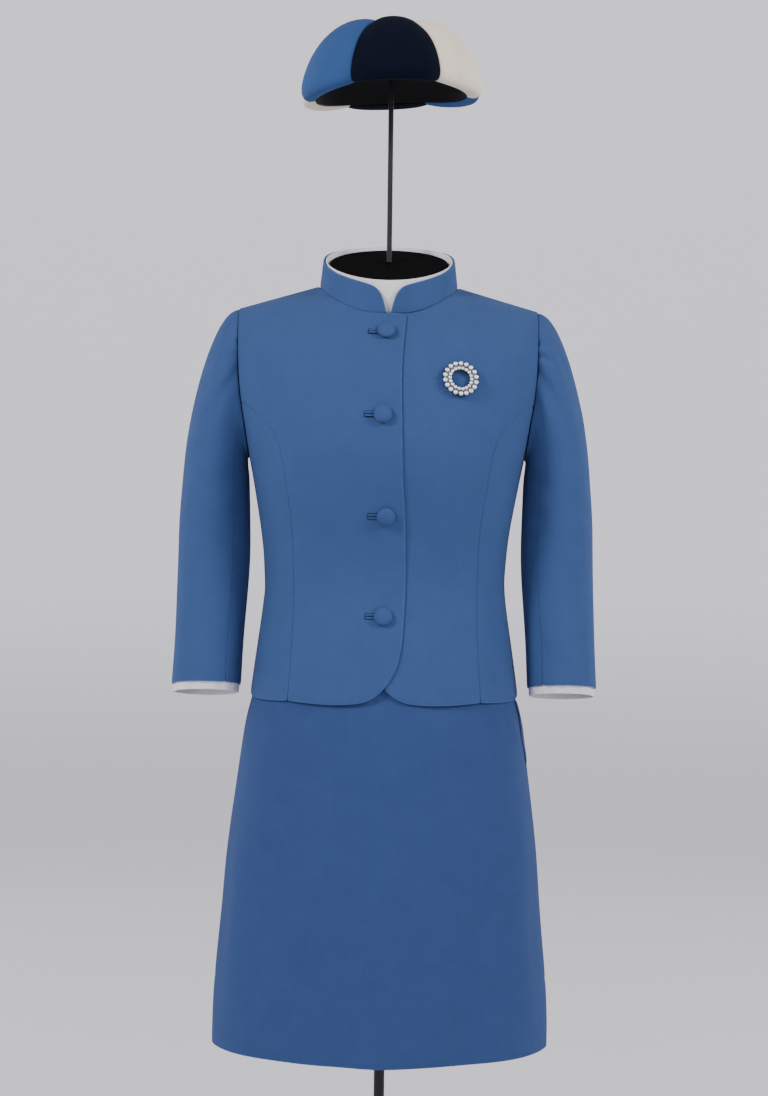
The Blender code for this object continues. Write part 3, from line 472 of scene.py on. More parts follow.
class Shader:
    """A material with one Principled shader, and short ways to add nodes before it."""

    def __init__(self, name, **finish):
        self.material = bpy.data.materials.new(name)
        self.material.use_nodes = True
        self.tree = self.material.node_tree
        self.tree.nodes.clear()
        self.surface = self.tree.nodes.new("ShaderNodeBsdfPrincipled")
        output = self.tree.nodes.new("ShaderNodeOutputMaterial")
        self.tree.links.new(self.surface.outputs["BSDF"], output.inputs["Surface"])
        self.set(**finish)

    def set(self, **finish):
        """Sets or links sockets of the surface, named with _ for a space."""
        for socket, value in finish.items():
            self.feed(self.surface.inputs[socket.replace("_", " ")], value)

    def feed(self, socket, value):
        if isinstance(value, Wire):
            self.tree.links.new(value.socket, socket)
        elif socket.type == "RGBA" and len(value) == 3:
            socket.default_value = (*value, 1)
        else:
            socket.default_value = value

    def node(self, kind, facts=None, inputs=None, output=0):
        """Adds a node: its settings first, then the values or links of its sockets."""
        made = self.tree.nodes.new(kind)
        for key, value in (facts or {}).items():
            setattr(made, key, value)
        for key, value in (inputs or {}).items():
            self.feed(made.inputs[key], value)
        return Wire(self, made.outputs[output])

    def point(self):
        return self.node("ShaderNodeTexCoord", output="Object")

    def unrolled(self):
        """The two axes of the cloth's own UV map, in metres."""
        place = self.node("ShaderNodeUVMap", {"uv_map": "cloth"})
        split = self.node("ShaderNodeSeparateXYZ", inputs={0: place})
        return split, Wire(self, split.socket.node.outputs[1])

    def noise(self, scale, detail, rough):
        return self.node(
            "ShaderNodeTexNoise", inputs={
                "Vector": self.point(), "Scale": scale, "Detail": detail, "Roughness": rough})

    def attribute(self, name):
        return self.node("ShaderNodeAttribute", {"attribute_name": name}, output="Fac")

    def blend(self, share, first, second):
        made = self.node("ShaderNodeMix", {"data_type": "RGBA"}, output=2)
        for key, value in ((0, share), (6, first), (7, second)):
            self.feed(made.socket.node.inputs[key], value)
        return made

    def bump(self, height, distance, strength):
        self.set(Normal=self.node("ShaderNodeBump", inputs={
            "Height": height, "Distance": distance, "Strength": strength}))


PALEST = 0.9


def shade(colour, factor):
    return tuple(min(channel * factor, PALEST) for channel in colour)


def wool(name, colour, sheen=0.02, shine=0.15, edge_highlight=0.45):
    """Fine wool: a twill of slanted wales, mixed yarn and a soft nap.

    Painted shade darkens the cloth along its seams, and a painted highlight lightens it where a
    pressed edge is free.
    """
    shader = Shader(name, Sheen_Weight=sheen, Sheen_Roughness=0.55,
                    Sheen_Tint=(0.72, 0.80, 1.0), Specular_IOR_Level=shine)
    thread = settings("uniform_cloth").thread
    u, v = shader.unrolled()
    wale = ((u + v) * (FULL_TURN / (2 * thread))).sine()
    pick = ((u - v) * (FULL_TURN / thread)).sine()
    fibre = shader.noise(1400, 2, 0.6)
    yarn = shader.noise(420, 2, 0.55)
    mottle = shader.noise(38, 3, 0.5)
    slow = shader.noise(5, 1, 0.4)
    tone = 0.5 + (fibre - 0.5) * 0.9 + (yarn - 0.5) * 0.5 + (mottle - 0.5) * 0.28
    tone = tone + (slow - 0.5) * 0.12 + wale * 0.10
    body = shader.blend(tone.clear(-0.1, 1.1), shade(colour, 0.80), shade(colour, 1.20))
    # painted shade: near a seam the cloth darkens towards 55 % of its colour, standing for the
    # shade in the seam's groove
    seam = shader.attribute("rim").clear(0.70, 1.0) * 0.42
    seam_shaded = shader.blend(seam, body, shade(colour, 0.55))
    # painted highlight: along a free pressed edge the cloth lightens towards 1.8 times its colour,
    # as if the edge caught the light
    painted_highlight = shader.attribute("edge").clear(0.60, 0.92) * edge_highlight
    shader.set(Base_Color=shader.blend(painted_highlight, seam_shaded, shade(colour, 1.8)))
    shader.set(Roughness=0.90 - (mottle - 0.5) * 0.12)
    relief = wale * 0.5 + pick * 0.3 + fibre + yarn * 0.8
    shader.bump(relief, 0.00009, 0.8)
    return shader.material


def shirting(name, colour):
    """White cotton: a plain weave with fine slubs."""
    shader = Shader(name, Sheen_Weight=0.1, Sheen_Roughness=0.5, Specular_IOR_Level=0.25)
    thread = settings("uniform_cloth").thread * 0.8
    u, v = shader.unrolled()
    weave = (u * (FULL_TURN / thread)).sine() * (v * (FULL_TURN / thread)).sine()
    slub = shader.noise(260, 3, 0.6)
    soft = shader.noise(22, 2, 0.5)
    tone = 0.5 + (slub - 0.5) * 0.7 + (soft - 0.5) * 0.8 + weave * 0.08
    shader.set(Base_Color=shader.blend(
        tone.clear(0, 1), shade(colour, 0.90), shade(colour, 1.04)))
    shader.set(Roughness=0.80 + (slub - 0.5) * 0.12)
    shader.bump(weave * 0.5 + slub * 0.8, 0.00006, 0.8)
    return shader.material


SATIN_PITCH = 0.0005
WALE_PITCH, LOOP_PITCH = 0.0011, 0.0009
LOOP_SWING = 0.0002


def lining_satin(name):
    """Black lining: a close satin, ribbed along its threads."""
    shader = Shader(name, Specular_IOR_Level=0.12)
    u, v = shader.unrolled()
    slub = shader.noise(300, 2, 0.5)
    ribs = ((u + v * 0.2) * (FULL_TURN / SATIN_PITCH)).sine()
    shader.set(Base_Color=shader.blend(
        slub, (0.0060, 0.0062, 0.0062), (0.0120, 0.0124, 0.0124)))
    shader.set(Roughness=0.55 + slub * 0.14)
    shader.bump(ribs * 0.4 + slub, 0.00005, 0.7)
    return shader.material


def jersey(name):
    """Black knit stretched over the form: fine upright wales of loops."""
    shader = Shader(name, Specular_IOR_Level=0.03)
    u, v = shader.unrolled()
    wales = (u * (FULL_TURN / WALE_PITCH)).sine()
    loops = ((v + wales * LOOP_SWING) * (FULL_TURN / LOOP_PITCH)).sine()
    fluff = shader.noise(600, 3, 0.6)
    tone = (fluff * 0.7 + wales * 0.15).clear(0, 1)
    shader.set(Base_Color=shader.blend(
        tone, (0.0022, 0.0022, 0.0025), (0.0050, 0.0050, 0.0055)))
    shader.set(Roughness=0.78 + fluff * 0.14)
    shader.bump(wales * 0.6 + loops * 0.4 + fluff * 0.5, 0.00012, 0.8)
    return shader.material


def stand_paint(name):
    """Black satin paint: a fine orange peel, and a few duller rubbed patches."""
    shader = Shader(name, Specular_IOR_Level=0.3, Coat_Weight=0.06, Coat_Roughness=0.3)
    peel = shader.noise(900, 2, 0.5)
    rub = shader.noise(14, 4, 0.6).clear(0.45, 0.75)
    shader.set(Base_Color=shader.blend(
        rub, (0.005, 0.005, 0.006), (0.010, 0.010, 0.011)))
    shader.set(Roughness=0.46 + rub * 0.16)
    shader.bump(peel, 0.00005, 0.6)
    return shader.material


def silver(name):
    """Polished silver, with fine scratches, a few tarnished patches, and painted shade that darkens
    its lower parts towards the cloth.
    """
    shader = Shader(name, Metallic=1.0)
    scratch = shader.noise(900, 4, 0.7)
    # the tarnished patches come from the noise, and the attribute adds painted shade to the parts
    # nearest the cloth
    tarnish_and_shade = shader.attribute("underside_shade") * 0.9 + shader.noise(160, 3, 0.6).clear(0.55, 0.85) * 0.3
    shader.set(Base_Color=shader.blend(
        tarnish_and_shade.clear(0, 1), (0.96, 0.96, 0.97), (0.05, 0.05, 0.055)))
    shader.set(Roughness=0.26 + tarnish_and_shade * 0.2 + scratch * 0.08)
    shader.bump(scratch, 0.00002, 0.5)
    return shader.material


# painted shade on the floor and painted light on the wall: the backdrop's colour and glow are
# scaled by these from the floor up
FLOOR_PAINTED_SHADE, WALL_PAINTED_LIGHT = 0.81, 1.14


def backdrop(name):
    """Pale paper of the studio with a faint grain, darker on the floor and paler on the wall as
    painted shade and painted light, in colour and glow alike.
    """
    studio = settings("uniform_studio")
    colour = studio.backdrop_colour
    shader = Shader(name, Roughness=0.95, Specular_IOR_Level=0.0)
    split = shader.node("ShaderNodeSeparateXYZ", inputs={0: shader.point()}, output=2)
    rise = split.clear(0.0, 1.0)
    paper = shader.blend(rise, shade(colour, FLOOR_PAINTED_SHADE), shade(colour, WALL_PAINTED_LIGHT))
    grain = shader.noise(3, 2, 0.5)
    shader.set(Base_Color=shader.blend(
        grain * 0.03, paper, (1.0, 1.0, 1.0)))
    # the glow carries the same painted shade and light
    shader.set(Emission_Color=paper)
    shader.set(Emission_Strength=studio.backdrop_glow)
    return shader.material


@functools.cache
def finish(slot):
    """The material of a slot of the record, made once."""
    cloth = settings("uniform_cloth")
    makers = {
        "jacket": lambda: wool("jacket_wool", cloth.jacket_colour),
        "skirt": lambda: wool("skirt_wool", cloth.skirt_colour),
        # painted shade: jacket wool darkened to 12 % of its colour, for the dark sheet under the
        # buttonhole welts
        "shade_sheet": lambda: wool("painted_shade_wool", shade(cloth.jacket_colour, 0.12), sheen=0.0,
                               edge_highlight=0.0),
        "hat_navy": lambda: wool("cap_navy_wool", cloth.navy_colour, sheen=0.01,
                                 shine=0.06),
        "hat_cream": lambda: wool("cap_cream_wool", cloth.cream_colour, sheen=0.02),
        "hat_blue": lambda: wool("cap_blue_wool", cloth.blue_colour),
        "blouse": lambda: shirting("shirting", cloth.shirting_colour),
        "lining": lambda: lining_satin("cap_lining"),
        "form": lambda: jersey("form_jersey"),
        "stand_metal": lambda: stand_paint("stand_paint"),
        "silver": lambda: silver("brooch_silver"),
    }
    return makers[slot]()


# ---------------------------------------- folds

BODY, LEFT, RIGHT = 0, 1, -1


def body_folds(*rows):
    """Folds round the body: (degrees from the front, height) at both ends, half width, depth."""
    return tuple(Fold(BODY, *row) for row in rows)


JACKET_FOLDS = body_folds(
    # soft drag from the bust to the waist at each side of the front, and across the back
    ((38, 1.150), (58, 1.030), 0.014, 0.0016),
    ((-40, 1.155), (-60, 1.035), 0.013, 0.0013),
    ((66, 1.085), (84, 0.985), 0.013, 0.0018),
    ((-68, 1.080), (-86, 0.990), 0.012, 0.0015),
    ((28, 1.020), (40, 0.905), 0.016, 0.0010),
    ((-30, 1.015), (-44, 0.910), 0.017, 0.0012),
    ((112, 1.120), (96, 1.010), 0.013, 0.0018),
    ((-114, 1.125), (-97, 1.015), 0.014, 0.0016),
    ((150, 1.110), (135, 1.010), 0.016, 0.0016),
    ((-152, 1.100), (-138, 1.005), 0.015, 0.0018),
    ((170, 1.045), (140, 1.030), 0.009, 0.0012),
    ((-168, 1.035), (-142, 1.048), 0.009, 0.0011),
    ((128, 1.270), (118, 1.180), 0.012, 0.0014),
    ((-130, 1.275), (-117, 1.185), 0.012, 0.0012),
    ((160, 0.980), (166, 0.890), 0.014, 0.0010),
    ((-158, 0.985), (-165, 0.895), 0.015, 0.0012),
)


RIGHT_SLEEVE_SHARE = 0.5             # the right sleeve's folds are this much as deep


def sleeve_folds(side):
    """The folds of a sleeve, as seen on the wearer's left, and turned round for the right."""
    table = (
        ((-10, 1.322), (34, 1.262), 0.0075, 0.0016),
        ((-32, 1.310), (4, 1.300), 0.0045, 0.0030),
        ((-32, 1.295), (2, 1.284), 0.0042, 0.0027),
        ((-30, 1.286), (10, 1.212), 0.0065, 0.0036),
        ((-62, 1.160), (-6, 1.128), 0.0090, 0.0013),
        ((-66, 1.118), (-18, 1.092), 0.0080, 0.0016),
        ((-70, 1.085), (-8, 1.073), 0.0075, 0.0014),
        ((-58, 1.045), (-12, 1.062), 0.0070, 0.0011),
        ((104, 1.140), (150, 1.095), 0.0110, 0.0013),
        ((112, 1.050), (156, 1.075), 0.0100, 0.0012),
        ((95, 1.250), (150, 1.180), 0.0110, 0.0015),
        ((150, 1.120), (196, 1.080), 0.0090, 0.0016),
        ((146, 1.060), (200, 1.090), 0.0085, 0.0013),
        ((20, 1.010), (34, 0.915), 0.0120, 0.0010),
        ((120, 1.000), (108, 0.905), 0.0130, 0.0012),
        ((-40, 0.975), (-30, 0.900), 0.0090, 0.0009),
    )
    return tuple(
        Fold(side, (side * start[0], start[1]), (side * end[0], end[1]), width,
             depth * (1.0 if side == LEFT else RIGHT_SLEEVE_SHARE))
        for start, end, width, depth in table)


CUFF_TOP_Z, CUFF_LOW_Z = 0.960, 0.800   # a cuff's pleats run out beyond both of its edges
CUFF_SLANT = 5


def cuff_folds(side):
    """Soft upright pleats of a cuff, as seen on the wearer's left, and turned for the right."""
    table = ((-58, 0.0040, 0.0009), (-31, 0.0050, 0.0011), (-6, 0.0045, 0.0008),
             (24, 0.0055, 0.0010), (71, 0.0060, 0.0012), (128, 0.0070, 0.0011),
             (173, 0.0050, 0.0010), (-118, 0.0060, 0.0012))
    return tuple(
        Fold(side, (side * turn, CUFF_TOP_Z), (side * (turn + CUFF_SLANT), CUFF_LOW_Z),
             width, depth, ridge=0.0)
        for turn, width, depth in table)


SKIRT_FOLDS = body_folds(
    ((12, 0.800), (20, 0.470), 0.020, 0.0014),
    ((-17, 0.780), (-27, 0.465), 0.022, 0.0016),
    ((44, 0.840), (56, 0.480), 0.022, 0.0032),
    ((-48, 0.830), (-58, 0.475), 0.023, 0.0030),
    ((76, 0.760), (82, 0.470), 0.016, 0.0016),
    ((-78, 0.750), (-84, 0.468), 0.015, 0.0018),
    ((70, 0.865), (88, 0.812), 0.010, 0.0014),
    ((118, 0.800), (126, 0.465), 0.021, 0.0022),
    ((-116, 0.810), (-124, 0.470), 0.020, 0.0020),
    ((152, 0.790), (160, 0.468), 0.022, 0.0018),
    ((-150, 0.780), (-158, 0.466), 0.023, 0.0020),
    ((178, 0.700), (183, 0.470), 0.018, 0.0012),
)
HIP_Z, SKIRT_HEM_Z = 0.86, 0.45
HEM_TURN_UP_Z = 0.5325
HEM_LINE_WIDTH, HEM_LINE_DEPTH = 0.005, 0.0005
CHEST_Z, CHEST_FADE = 1.30, 0.20
# Depth, number round the body, slant in radians a metre, shift in radians
SKIRT_WAVES = ((0.0008, 7, 0, 0.6), (0.0006, 11, 0, 2.1))
JACKET_WAVES = ((0.0004, 5, 9, 0), (0.0003, 9, -21, 0))


def ripple(waves, turn, z):
    return sum(depth * math.sin(count * turn + slant * z + shift)
               for depth, count, slant, shift in waves)


def skirt_waves(turn, z):
    """Slow upright waves that grow towards the hem, and the line where the deep hem is sewn up."""
    share = max(0.0, (HIP_Z - z) / (HIP_Z - SKIRT_HEM_Z))
    line = math.exp(-((z - HEM_TURN_UP_Z) / HEM_LINE_WIDTH) ** 2)
    return share * share * ripple(SKIRT_WAVES, turn, z) - HEM_LINE_DEPTH * line


def jacket_waves(turn, z):
    """The pressed jacket's slight unevenness, so that no panel is a perfect curve."""
    share = min(1.0, max(0.0, (CHEST_Z - z) / CHEST_FADE))
    return share * ripple(JACKET_WAVES, turn, z)


# ---------------------------------------- operators


# The cut of each cloth piece: width, length, area, how it is held and what carries it
CUTS = {
    "jacket_front": (0.235, 0.520, 0.0862, "hung", "dress_form"),
    "jacket_side_front": (0.120, 0.370, 0.0336, "hung", "dress_form"),
    "jacket_back": (0.260, 0.540, 0.1114, "hung", "dress_form"),
    "jacket_upper_sleeve": (0.240, 0.480, 0.0842, "hung", "jacket_front"),
    "jacket_under_sleeve": (0.110, 0.330, 0.0263, "hung", "jacket_back"),
    "jacket_collar": (0.440, 0.055, 0.0185, "stretched", "jacket_back"),
    "skirt_front": (0.560, 0.580, 0.2803, "hung", "skirt_waistband"),
    "skirt_back": (0.560, 0.580, 0.2829, "hung", "skirt_waistband"),
    "skirt_waistband": (0.770, 0.0320, 0.0243, "stretched", "dress_form"),
    "skirt_zip_lap": (0.0310, 0.0770, 0.0023, "hung", "skirt_front"),
    "blouse_neckband": (0.420, 0.0560, 0.0179, "stretched", "dress_form"),
    "blouse_cuff": (0.230, 0.0580, 0.0116, "hung", "jacket_under_sleeve"),
    "hat_gore": (0.130, 0.150, 0.0150, "stretched", "hat_lining"),
    "hat_lining": (0.290, 0.290, 0.0446, "stretched", "hat_rest"),
}


def cloth_sheet(node, *how, **more):
    """A cloth piece; its cut and carrier are looked up in the table, but nothing uses them."""
    piece = cloth_piece(node, *how, **more)
    part = node if node in CUTS else node.rsplit("_", 1)[0]
    width, length, area, held, carrier = CUTS[part]
    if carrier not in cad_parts:
        carrier += "_left" if node.endswith("left") else "_right"
    return piece


class MakePieces:
    """What the operators share."""

    bl_options = {"REGISTER", "UNDO"}


class UNIFORM_OT_jacket(MakePieces, Operator):
    """Make the jacket's panels, sleeves and collar"""

    bl_idname = "uniform.jacket"
    bl_label = "Jacket"

    def execute(self, context):
        for hand in ("right", "left"):
            for panel, levels in (("front", 3), ("side_front", 2), ("back", 3)):
                cloth_sheet(f"jacket_{panel}_{hand}", "jacket", BODY, levels, JACKET_FOLDS,
                            jacket_waves)
            side = LEFT if hand == "left" else RIGHT
            for panel, levels in (("upper_sleeve", 3), ("under_sleeve", 2)):
                cloth_sheet(f"jacket_{panel}_{hand}", "jacket", side, levels, sleeve_folds(side))
        cloth_sheet("jacket_collar", "jacket", BODY, 2, push=COLLAR_PUSH)
        return {"FINISHED"}


class UNIFORM_OT_skirt(MakePieces, Operator):
    """Make the skirt, its waistband and the lap over its zip"""

    bl_idname = "uniform.skirt"
    bl_label = "Skirt"

    def execute(self, context):
        for panel in ("front", "back"):
            cloth_sheet(f"skirt_{panel}", "skirt", BODY, 3, SKIRT_FOLDS, skirt_waves)
        cloth_sheet("skirt_waistband", "skirt", BODY, 1)
        cloth_sheet("skirt_zip_lap", "skirt", BODY, 2, SKIRT_FOLDS, skirt_waves, sink=LAP_SINK)
        return {"FINISHED"}


class UNIFORM_OT_blouse(MakePieces, Operator):
    """Make the parts of the blouse that show: its neckband and cuffs"""

    bl_idname = "uniform.blouse"
    bl_label = "Blouse"

    def execute(self, context):
        cloth_sheet("blouse_neckband", "blouse", BODY, 2, stitch=HEM_STITCH)
        for side, hand in ((RIGHT, "right"), (LEFT, "left")):
            cloth_sheet(f"blouse_cuff_{hand}", "blouse", side, 3, cuff_folds(side),
                        stitch=HEM_STITCH)
        return {"FINISHED"}


class UNIFORM_OT_cap(MakePieces, Operator):
    """Make the six puffed gores of the cap and its lining"""

    bl_idname = "uniform.cap"
    bl_label = "Cap"

    def execute(self, context):
        colours = ("hat_navy", "hat_cream", "hat_blue")
        for gore in range(6):
            slot = colours[gore % 3]
            cloth_sheet(f"hat_gore_{gore + 1}", slot, BODY, 2)
        cloth_sheet("hat_lining", "lining", BODY, 2)
        return {"FINISHED"}


FORM_ROUND = 0.0012                  # rounding of the form's edges


class UNIFORM_OT_stand(MakePieces, Operator):
    """Make the dress form's jersey, and paint the base, pole and rod"""

    bl_idname = "uniform.stand"
    bl_label = "Stand"

    def execute(self, context):
        cloth_piece("dress_form", "form", BODY, 1, rounding=FORM_ROUND)
        for node in ("base_plate", "pole", "hat_rod", "hat_rest"):
            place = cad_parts[node].material_slots[0]
            place.link = "OBJECT"
            place.material = finish("stand_metal")
        return {"FINISHED"}


# ---------------------------------------- trim


def node_axes(node):
    """The middle of a small CAD node and its long, middle and short directions, short outwards."""
    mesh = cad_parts[node].data
    points = np.empty(len(mesh.vertices) * 3)
    mesh.vertices.foreach_get("co", points)
    points = np.unique(points.reshape(-1, 3).round(6), axis=0)
    middle = (points.max(axis=0) + points.min(axis=0)) / 2
    spread = np.linalg.svd(points - points.mean(axis=0), full_matrices=False)[2]
    out = Vector(spread[2])
    if out.y > 0:
        out.negate()
    along = Vector(spread[0])
    if along.x < 0:
        along.negate()
    heights = [(Vector(point) - Vector(middle)).dot(out) for point in points]
    reaches = [(Vector(point) - Vector(middle)).dot(along) for point in points]
    span = (min(reaches), max(reaches))
    return Vector(middle), along, out, (min(heights), max(heights)), span


def to_place(bm, middle, along, out):
    """Moves a bmesh that was modelled lying along X and facing Z onto its place."""
    up = out.cross(along).normalized()
    turn = Matrix((along, up, out)).transposed().to_4x4()
    bmesh.ops.transform(bm, verts=bm.verts, matrix=Matrix.Translation(middle) @ turn)


def chain(bm, points):
    """Vertices at the points, joined in a row by edges."""
    verts = [bm.verts.new(point) for point in points]
    edges = [bm.edges.new(pair) for pair in zip(verts, verts[1:])]
    return verts + edges


def spun(points, steps):
    """A closed turned shape: the profile's points, as (radius, height), spun round Z."""
    bm = bmesh.new()
    geom = chain(bm, [(radius, 0, height) for radius, height in points])
    bmesh.ops.spin(bm, geom=geom, cent=(0, 0, 0), axis=(0, 0, 1), angle=FULL_TURN, steps=steps,
                   use_merge=True, use_duplicate=False)
    bmesh.ops.remove_doubles(bm, verts=bm.verts, dist=MERGE)
    bmesh.ops.recalc_face_normals(bm, faces=bm.faces)
    return bm


def bm_piece(name, bm, slot, replaced=()):
    mesh = bpy.data.meshes.new(name)
    bm.to_mesh(mesh)
    bm.free()
    return finish_piece(name, mesh, finish(slot), replaced)


def flat_uv(bm, along, up):
    """A UV map 'cloth' that lies flat over a small piece, in metres."""
    layer = bm.loops.layers.uv.new("cloth")
    for face in bm.faces:
        for loop in face.loops:
            loop[layer].uv = (loop.vert.co.dot(along), loop.vert.co.dot(up))


# Radius, and height over the foot of the shank
SHANK = ((0, 0), (0.0030, 0), (0.0034, 0.0004))
SHANK_RADIUS, SHANK_LEAST = 0.0036, 0.0006
BUTTON_DEPTH, BUTTON_RIM = 0.0024, 0.0003
# Share of the radius, and height over the button's back
BUTTON_UNDERSIDE = ((0.50, -0.0002), (0.80, 0.0001), (0.93, 0.0005), (0.985, 0.0012))
DOME_STEPS, BUTTON_STEPS = 9, 48
DOME_WIDE, DOME_RISE = 0.85, 1.1     # powers of cosine and sine; both are 1 on a round dome
GATHERS, GATHERS_FROM, GATHER_DEPTH = 16, 0.45, 0.00022
WELT_SHORT = 0.0006                  # the dark sheet of painted shade ends this far inside its node, both ends together
WELT_END = 0.0010                    # and each welt this far inside that sheet
WELT_WIDTH, WELT_PLACE = 0.0026, 0.0018
WELT_THICK = 0.8                     # share of its node's depth
WELT_ROUND, WELT_CUTS = 0.0006, 7
WELT_CROWN, WELT_PINCH = 0.0003, 0.10
WELT_WAVE, WELT_WAVES = 0.00008, 9
LONG_EDGE = 0.008                    # a welt's edge longer than this runs along it
# Width, thickness and rounding of that dark sheet of painted shade
SHADE_SHEET_WIDTH, SHADE_SHEET_THICK, SHADE_SHEET_ROUND = 0.0074, 0.0003, 0.0009
SHADE_SHEET_LIFT = 0.0002                 # over the underside of its node


class UNIFORM_OT_buttons(MakePieces, Operator):
    """Make the covered buttons and their bound buttonholes"""

    bl_idname = "uniform.buttons"
    bl_label = "Buttons"

    def execute(self, context):
        trim = settings("uniform_trim")
        for number in range(1, 5):
            self.button(trim, number)
            self.buttonhole(number)
        return {"FINISHED"}

    def button(self, trim, number):
        """A domed button on a shank, with its cloth gathered on the underside."""
        node = f"button_{number}"
        middle, along, out, (low, high), _ = node_axes(node)
        radius, rise = trim.button_radius, trim.button_rise
        shoulder = high - rise
        back = max(low + SHANK_LEAST, shoulder - BUTTON_DEPTH)
        profile = [(reach, low + height) for reach, height in SHANK]
        profile.append((SHANK_RADIUS, back))
        profile += [(share * radius, back + height) for share, height in BUTTON_UNDERSIDE]
        profile.append((radius, shoulder - BUTTON_RIM))
        for step in range(DOME_STEPS + 1):
            angle = math.pi / 2 * step / DOME_STEPS
            profile.append((radius * math.cos(angle) ** DOME_WIDE if step < DOME_STEPS else 0,
                            shoulder + rise * math.sin(angle) ** DOME_RISE))
        bm = spun(profile, BUTTON_STEPS)
        for vert in bm.verts:
            reach = math.hypot(vert.co.x, vert.co.y) / radius
            if reach > GATHERS_FROM and vert.co.z < shoulder:
                turn = math.atan2(vert.co.y, vert.co.x)
                vert.co.z += GATHER_DEPTH * math.sin(GATHERS * turn) * reach
        to_place(bm, middle, along, out)
        flat_uv(bm, along, out.cross(along))
        bm_piece(node + "_covered", bm, "jacket", (node,))

    def buttonhole(self, number):
        """Two welts of folded cloth, and a dark sheet of painted shade that shows between and
        around them, for the shade in the slit and at the welts' edges.
        """
        node = f"buttonhole_{number}"
        middle, along, out, (low, high), (start, end) = node_axes(node)
        middle = middle + along * (start + end) / 2
        depth, length = high - low, end - start - WELT_SHORT
        bm = bmesh.new()
        for side in (-1, 1):
            made = bmesh.ops.create_cube(bm, size=1)["verts"]
            bmesh.ops.scale(bm, verts=made, vec=(length - WELT_END, WELT_WIDTH, depth * WELT_THICK))
            bmesh.ops.translate(bm, verts=made, vec=(0, side * WELT_PLACE, 0))
        round_edges(bm, bm.edges, WELT_ROUND, 2)
        long = [edge for edge in bm.edges
                if abs(edge.verts[0].co.x - edge.verts[1].co.x) > LONG_EDGE]
        bmesh.ops.subdivide_edges(bm, edges=long, cuts=WELT_CUTS, use_grid_fill=True)
        for vert in bm.verts:
            share = vert.co.x / length * 2
            vert.co.z += WELT_CROWN * (1 - share * share) - WELT_WAVE * math.sin(WELT_WAVES * share)
            vert.co.y *= 1 - WELT_PINCH * share * share
        to_place(bm, middle, along, out)
        flat_uv(bm, along, (out.cross(along) + along).normalized())
        bm_piece(node + "_welts", bm, "jacket", (node,))
        # painted shade: a flat dark sheet under the welts stands for the shade in the slit and
        # around the welts
        bm = bmesh.new()
        bmesh.ops.create_cube(bm, size=1)
        bmesh.ops.scale(bm, verts=bm.verts, vec=(length, SHADE_SHEET_WIDTH, SHADE_SHEET_THICK))
        upright = [edge for edge in bm.edges
                   if abs(edge.verts[0].co.z - edge.verts[1].co.z) > SHADE_SHEET_THICK / 2]
        round_edges(bm, upright, SHADE_SHEET_ROUND, 3)
        bmesh.ops.translate(bm, verts=bm.verts, vec=(0, 0, low + SHADE_SHEET_LIFT))
        to_place(bm, middle, along, out)
        flat_uv(bm, along, out.cross(along))
        shade_sheet = bm_piece(node + "_recess", bm, "jacket")
        shade_sheet.data.materials[0] = finish("shade_sheet")


BAND_RADIUS, BAND_STEPS = 0.0158, 96
# Round the band's section, outwards from its middle and up from its level
BAND_SECTION = ((-0.0016, -0.0022), (0.0016, -0.0022), (0.0020, -0.0010), (0.0014, 0.0002),
                (-0.0014, 0.0002), (-0.0020, -0.0010), (-0.0016, -0.0022))
BEAD_ROWS = ((0.0032, 1.0, 0.0), (-0.0028, 0.78, 0.5))   # offset, size, shift in beads
BEAD_LIFT, LUG_LIFT = 0.0004, 0.0011
SHADE_FROM, SHADE_DEPTH = 0.0022, 0.0024               # painted shade darkens the silver from there down


class UNIFORM_OT_brooch(MakePieces, Operator):
    """Make the ring brooch: a band with an outer and an inner row of beads"""

    bl_idname = "uniform.brooch"
    bl_label = "Brooch"

    def execute(self, context):
        trim = settings("uniform_trim")
        middle, along, out, (low, high), _ = node_axes("brooch")
        level = (low + high) / 2
        bm = spun([(BAND_RADIUS + reach, level + height) for reach, height in BAND_SECTION],
                  BAND_STEPS)
        for offset, size, shift in BEAD_ROWS:
            reach = BAND_RADIUS + offset
            for number in range(trim.bead_count):
                turn = FULL_TURN * (number + shift) / trim.bead_count
                place = Vector((reach * math.cos(turn), reach * math.sin(turn), level + BEAD_LIFT))
                bead = bmesh.ops.create_uvsphere(
                    bm, u_segments=20, v_segments=12, radius=trim.bead_radius * size)
                bmesh.ops.translate(bm, verts=bead["verts"], vec=place)
        for side in (-1, 1):
            lug = bmesh.ops.create_cone(bm, cap_ends=True, segments=16, radius1=0.0013,
                                        radius2=0.0011, depth=0.0016)["verts"]
            bmesh.ops.translate(bm, verts=lug, vec=(side * BAND_RADIUS, 0, low + LUG_LIFT))
        # painted shade: the parts nearest the cloth are marked to be darkened
        underside_shade = bm.verts.layers.float.new("underside_shade")
        for vert in bm.verts:
            depth = (level + SHADE_FROM - vert.co.z) / SHADE_DEPTH
            vert[underside_shade] = min(1.0, max(0.0, depth))
        to_place(bm, middle, along, out)
        bm_piece("brooch_ring", bm, "silver", ("brooch",))
        return {"FINISHED"}


# ---------------------------------------- studio


# Name, place, width and share of the power setting
KEY_LIGHTS = (("key_left", (-3.0, -2.2, 3.5), 0.9, 1.6),
              ("key_right", (3.3, -1.8, 3.2), 1.2, 1.3))
FILL_LIGHTS = (("front_low", (0.0, -4.2, 0.9), 1.8, 0.2),
               ("back_left", (-2.9, 2.9, 2.6), 2.2, 1.0),
               ("back_right", (2.9, 2.9, 2.6), 2.2, 1.0))
LIGHT_AIM = Vector((0, 0, 1.05))
AIR_COLOUR, AIR_STRENGTH = (0.92, 0.94, 1.0, 1.0), 0.15
BOWL_REACH, BOWL_BEND, BOWL_TOP = 9.0, 4.0, 9.0
BOWL_INNER = 2.5
BEND_STEPS, BOWL_STEPS = 16, 96
FLOOR_DROP = 0.0005


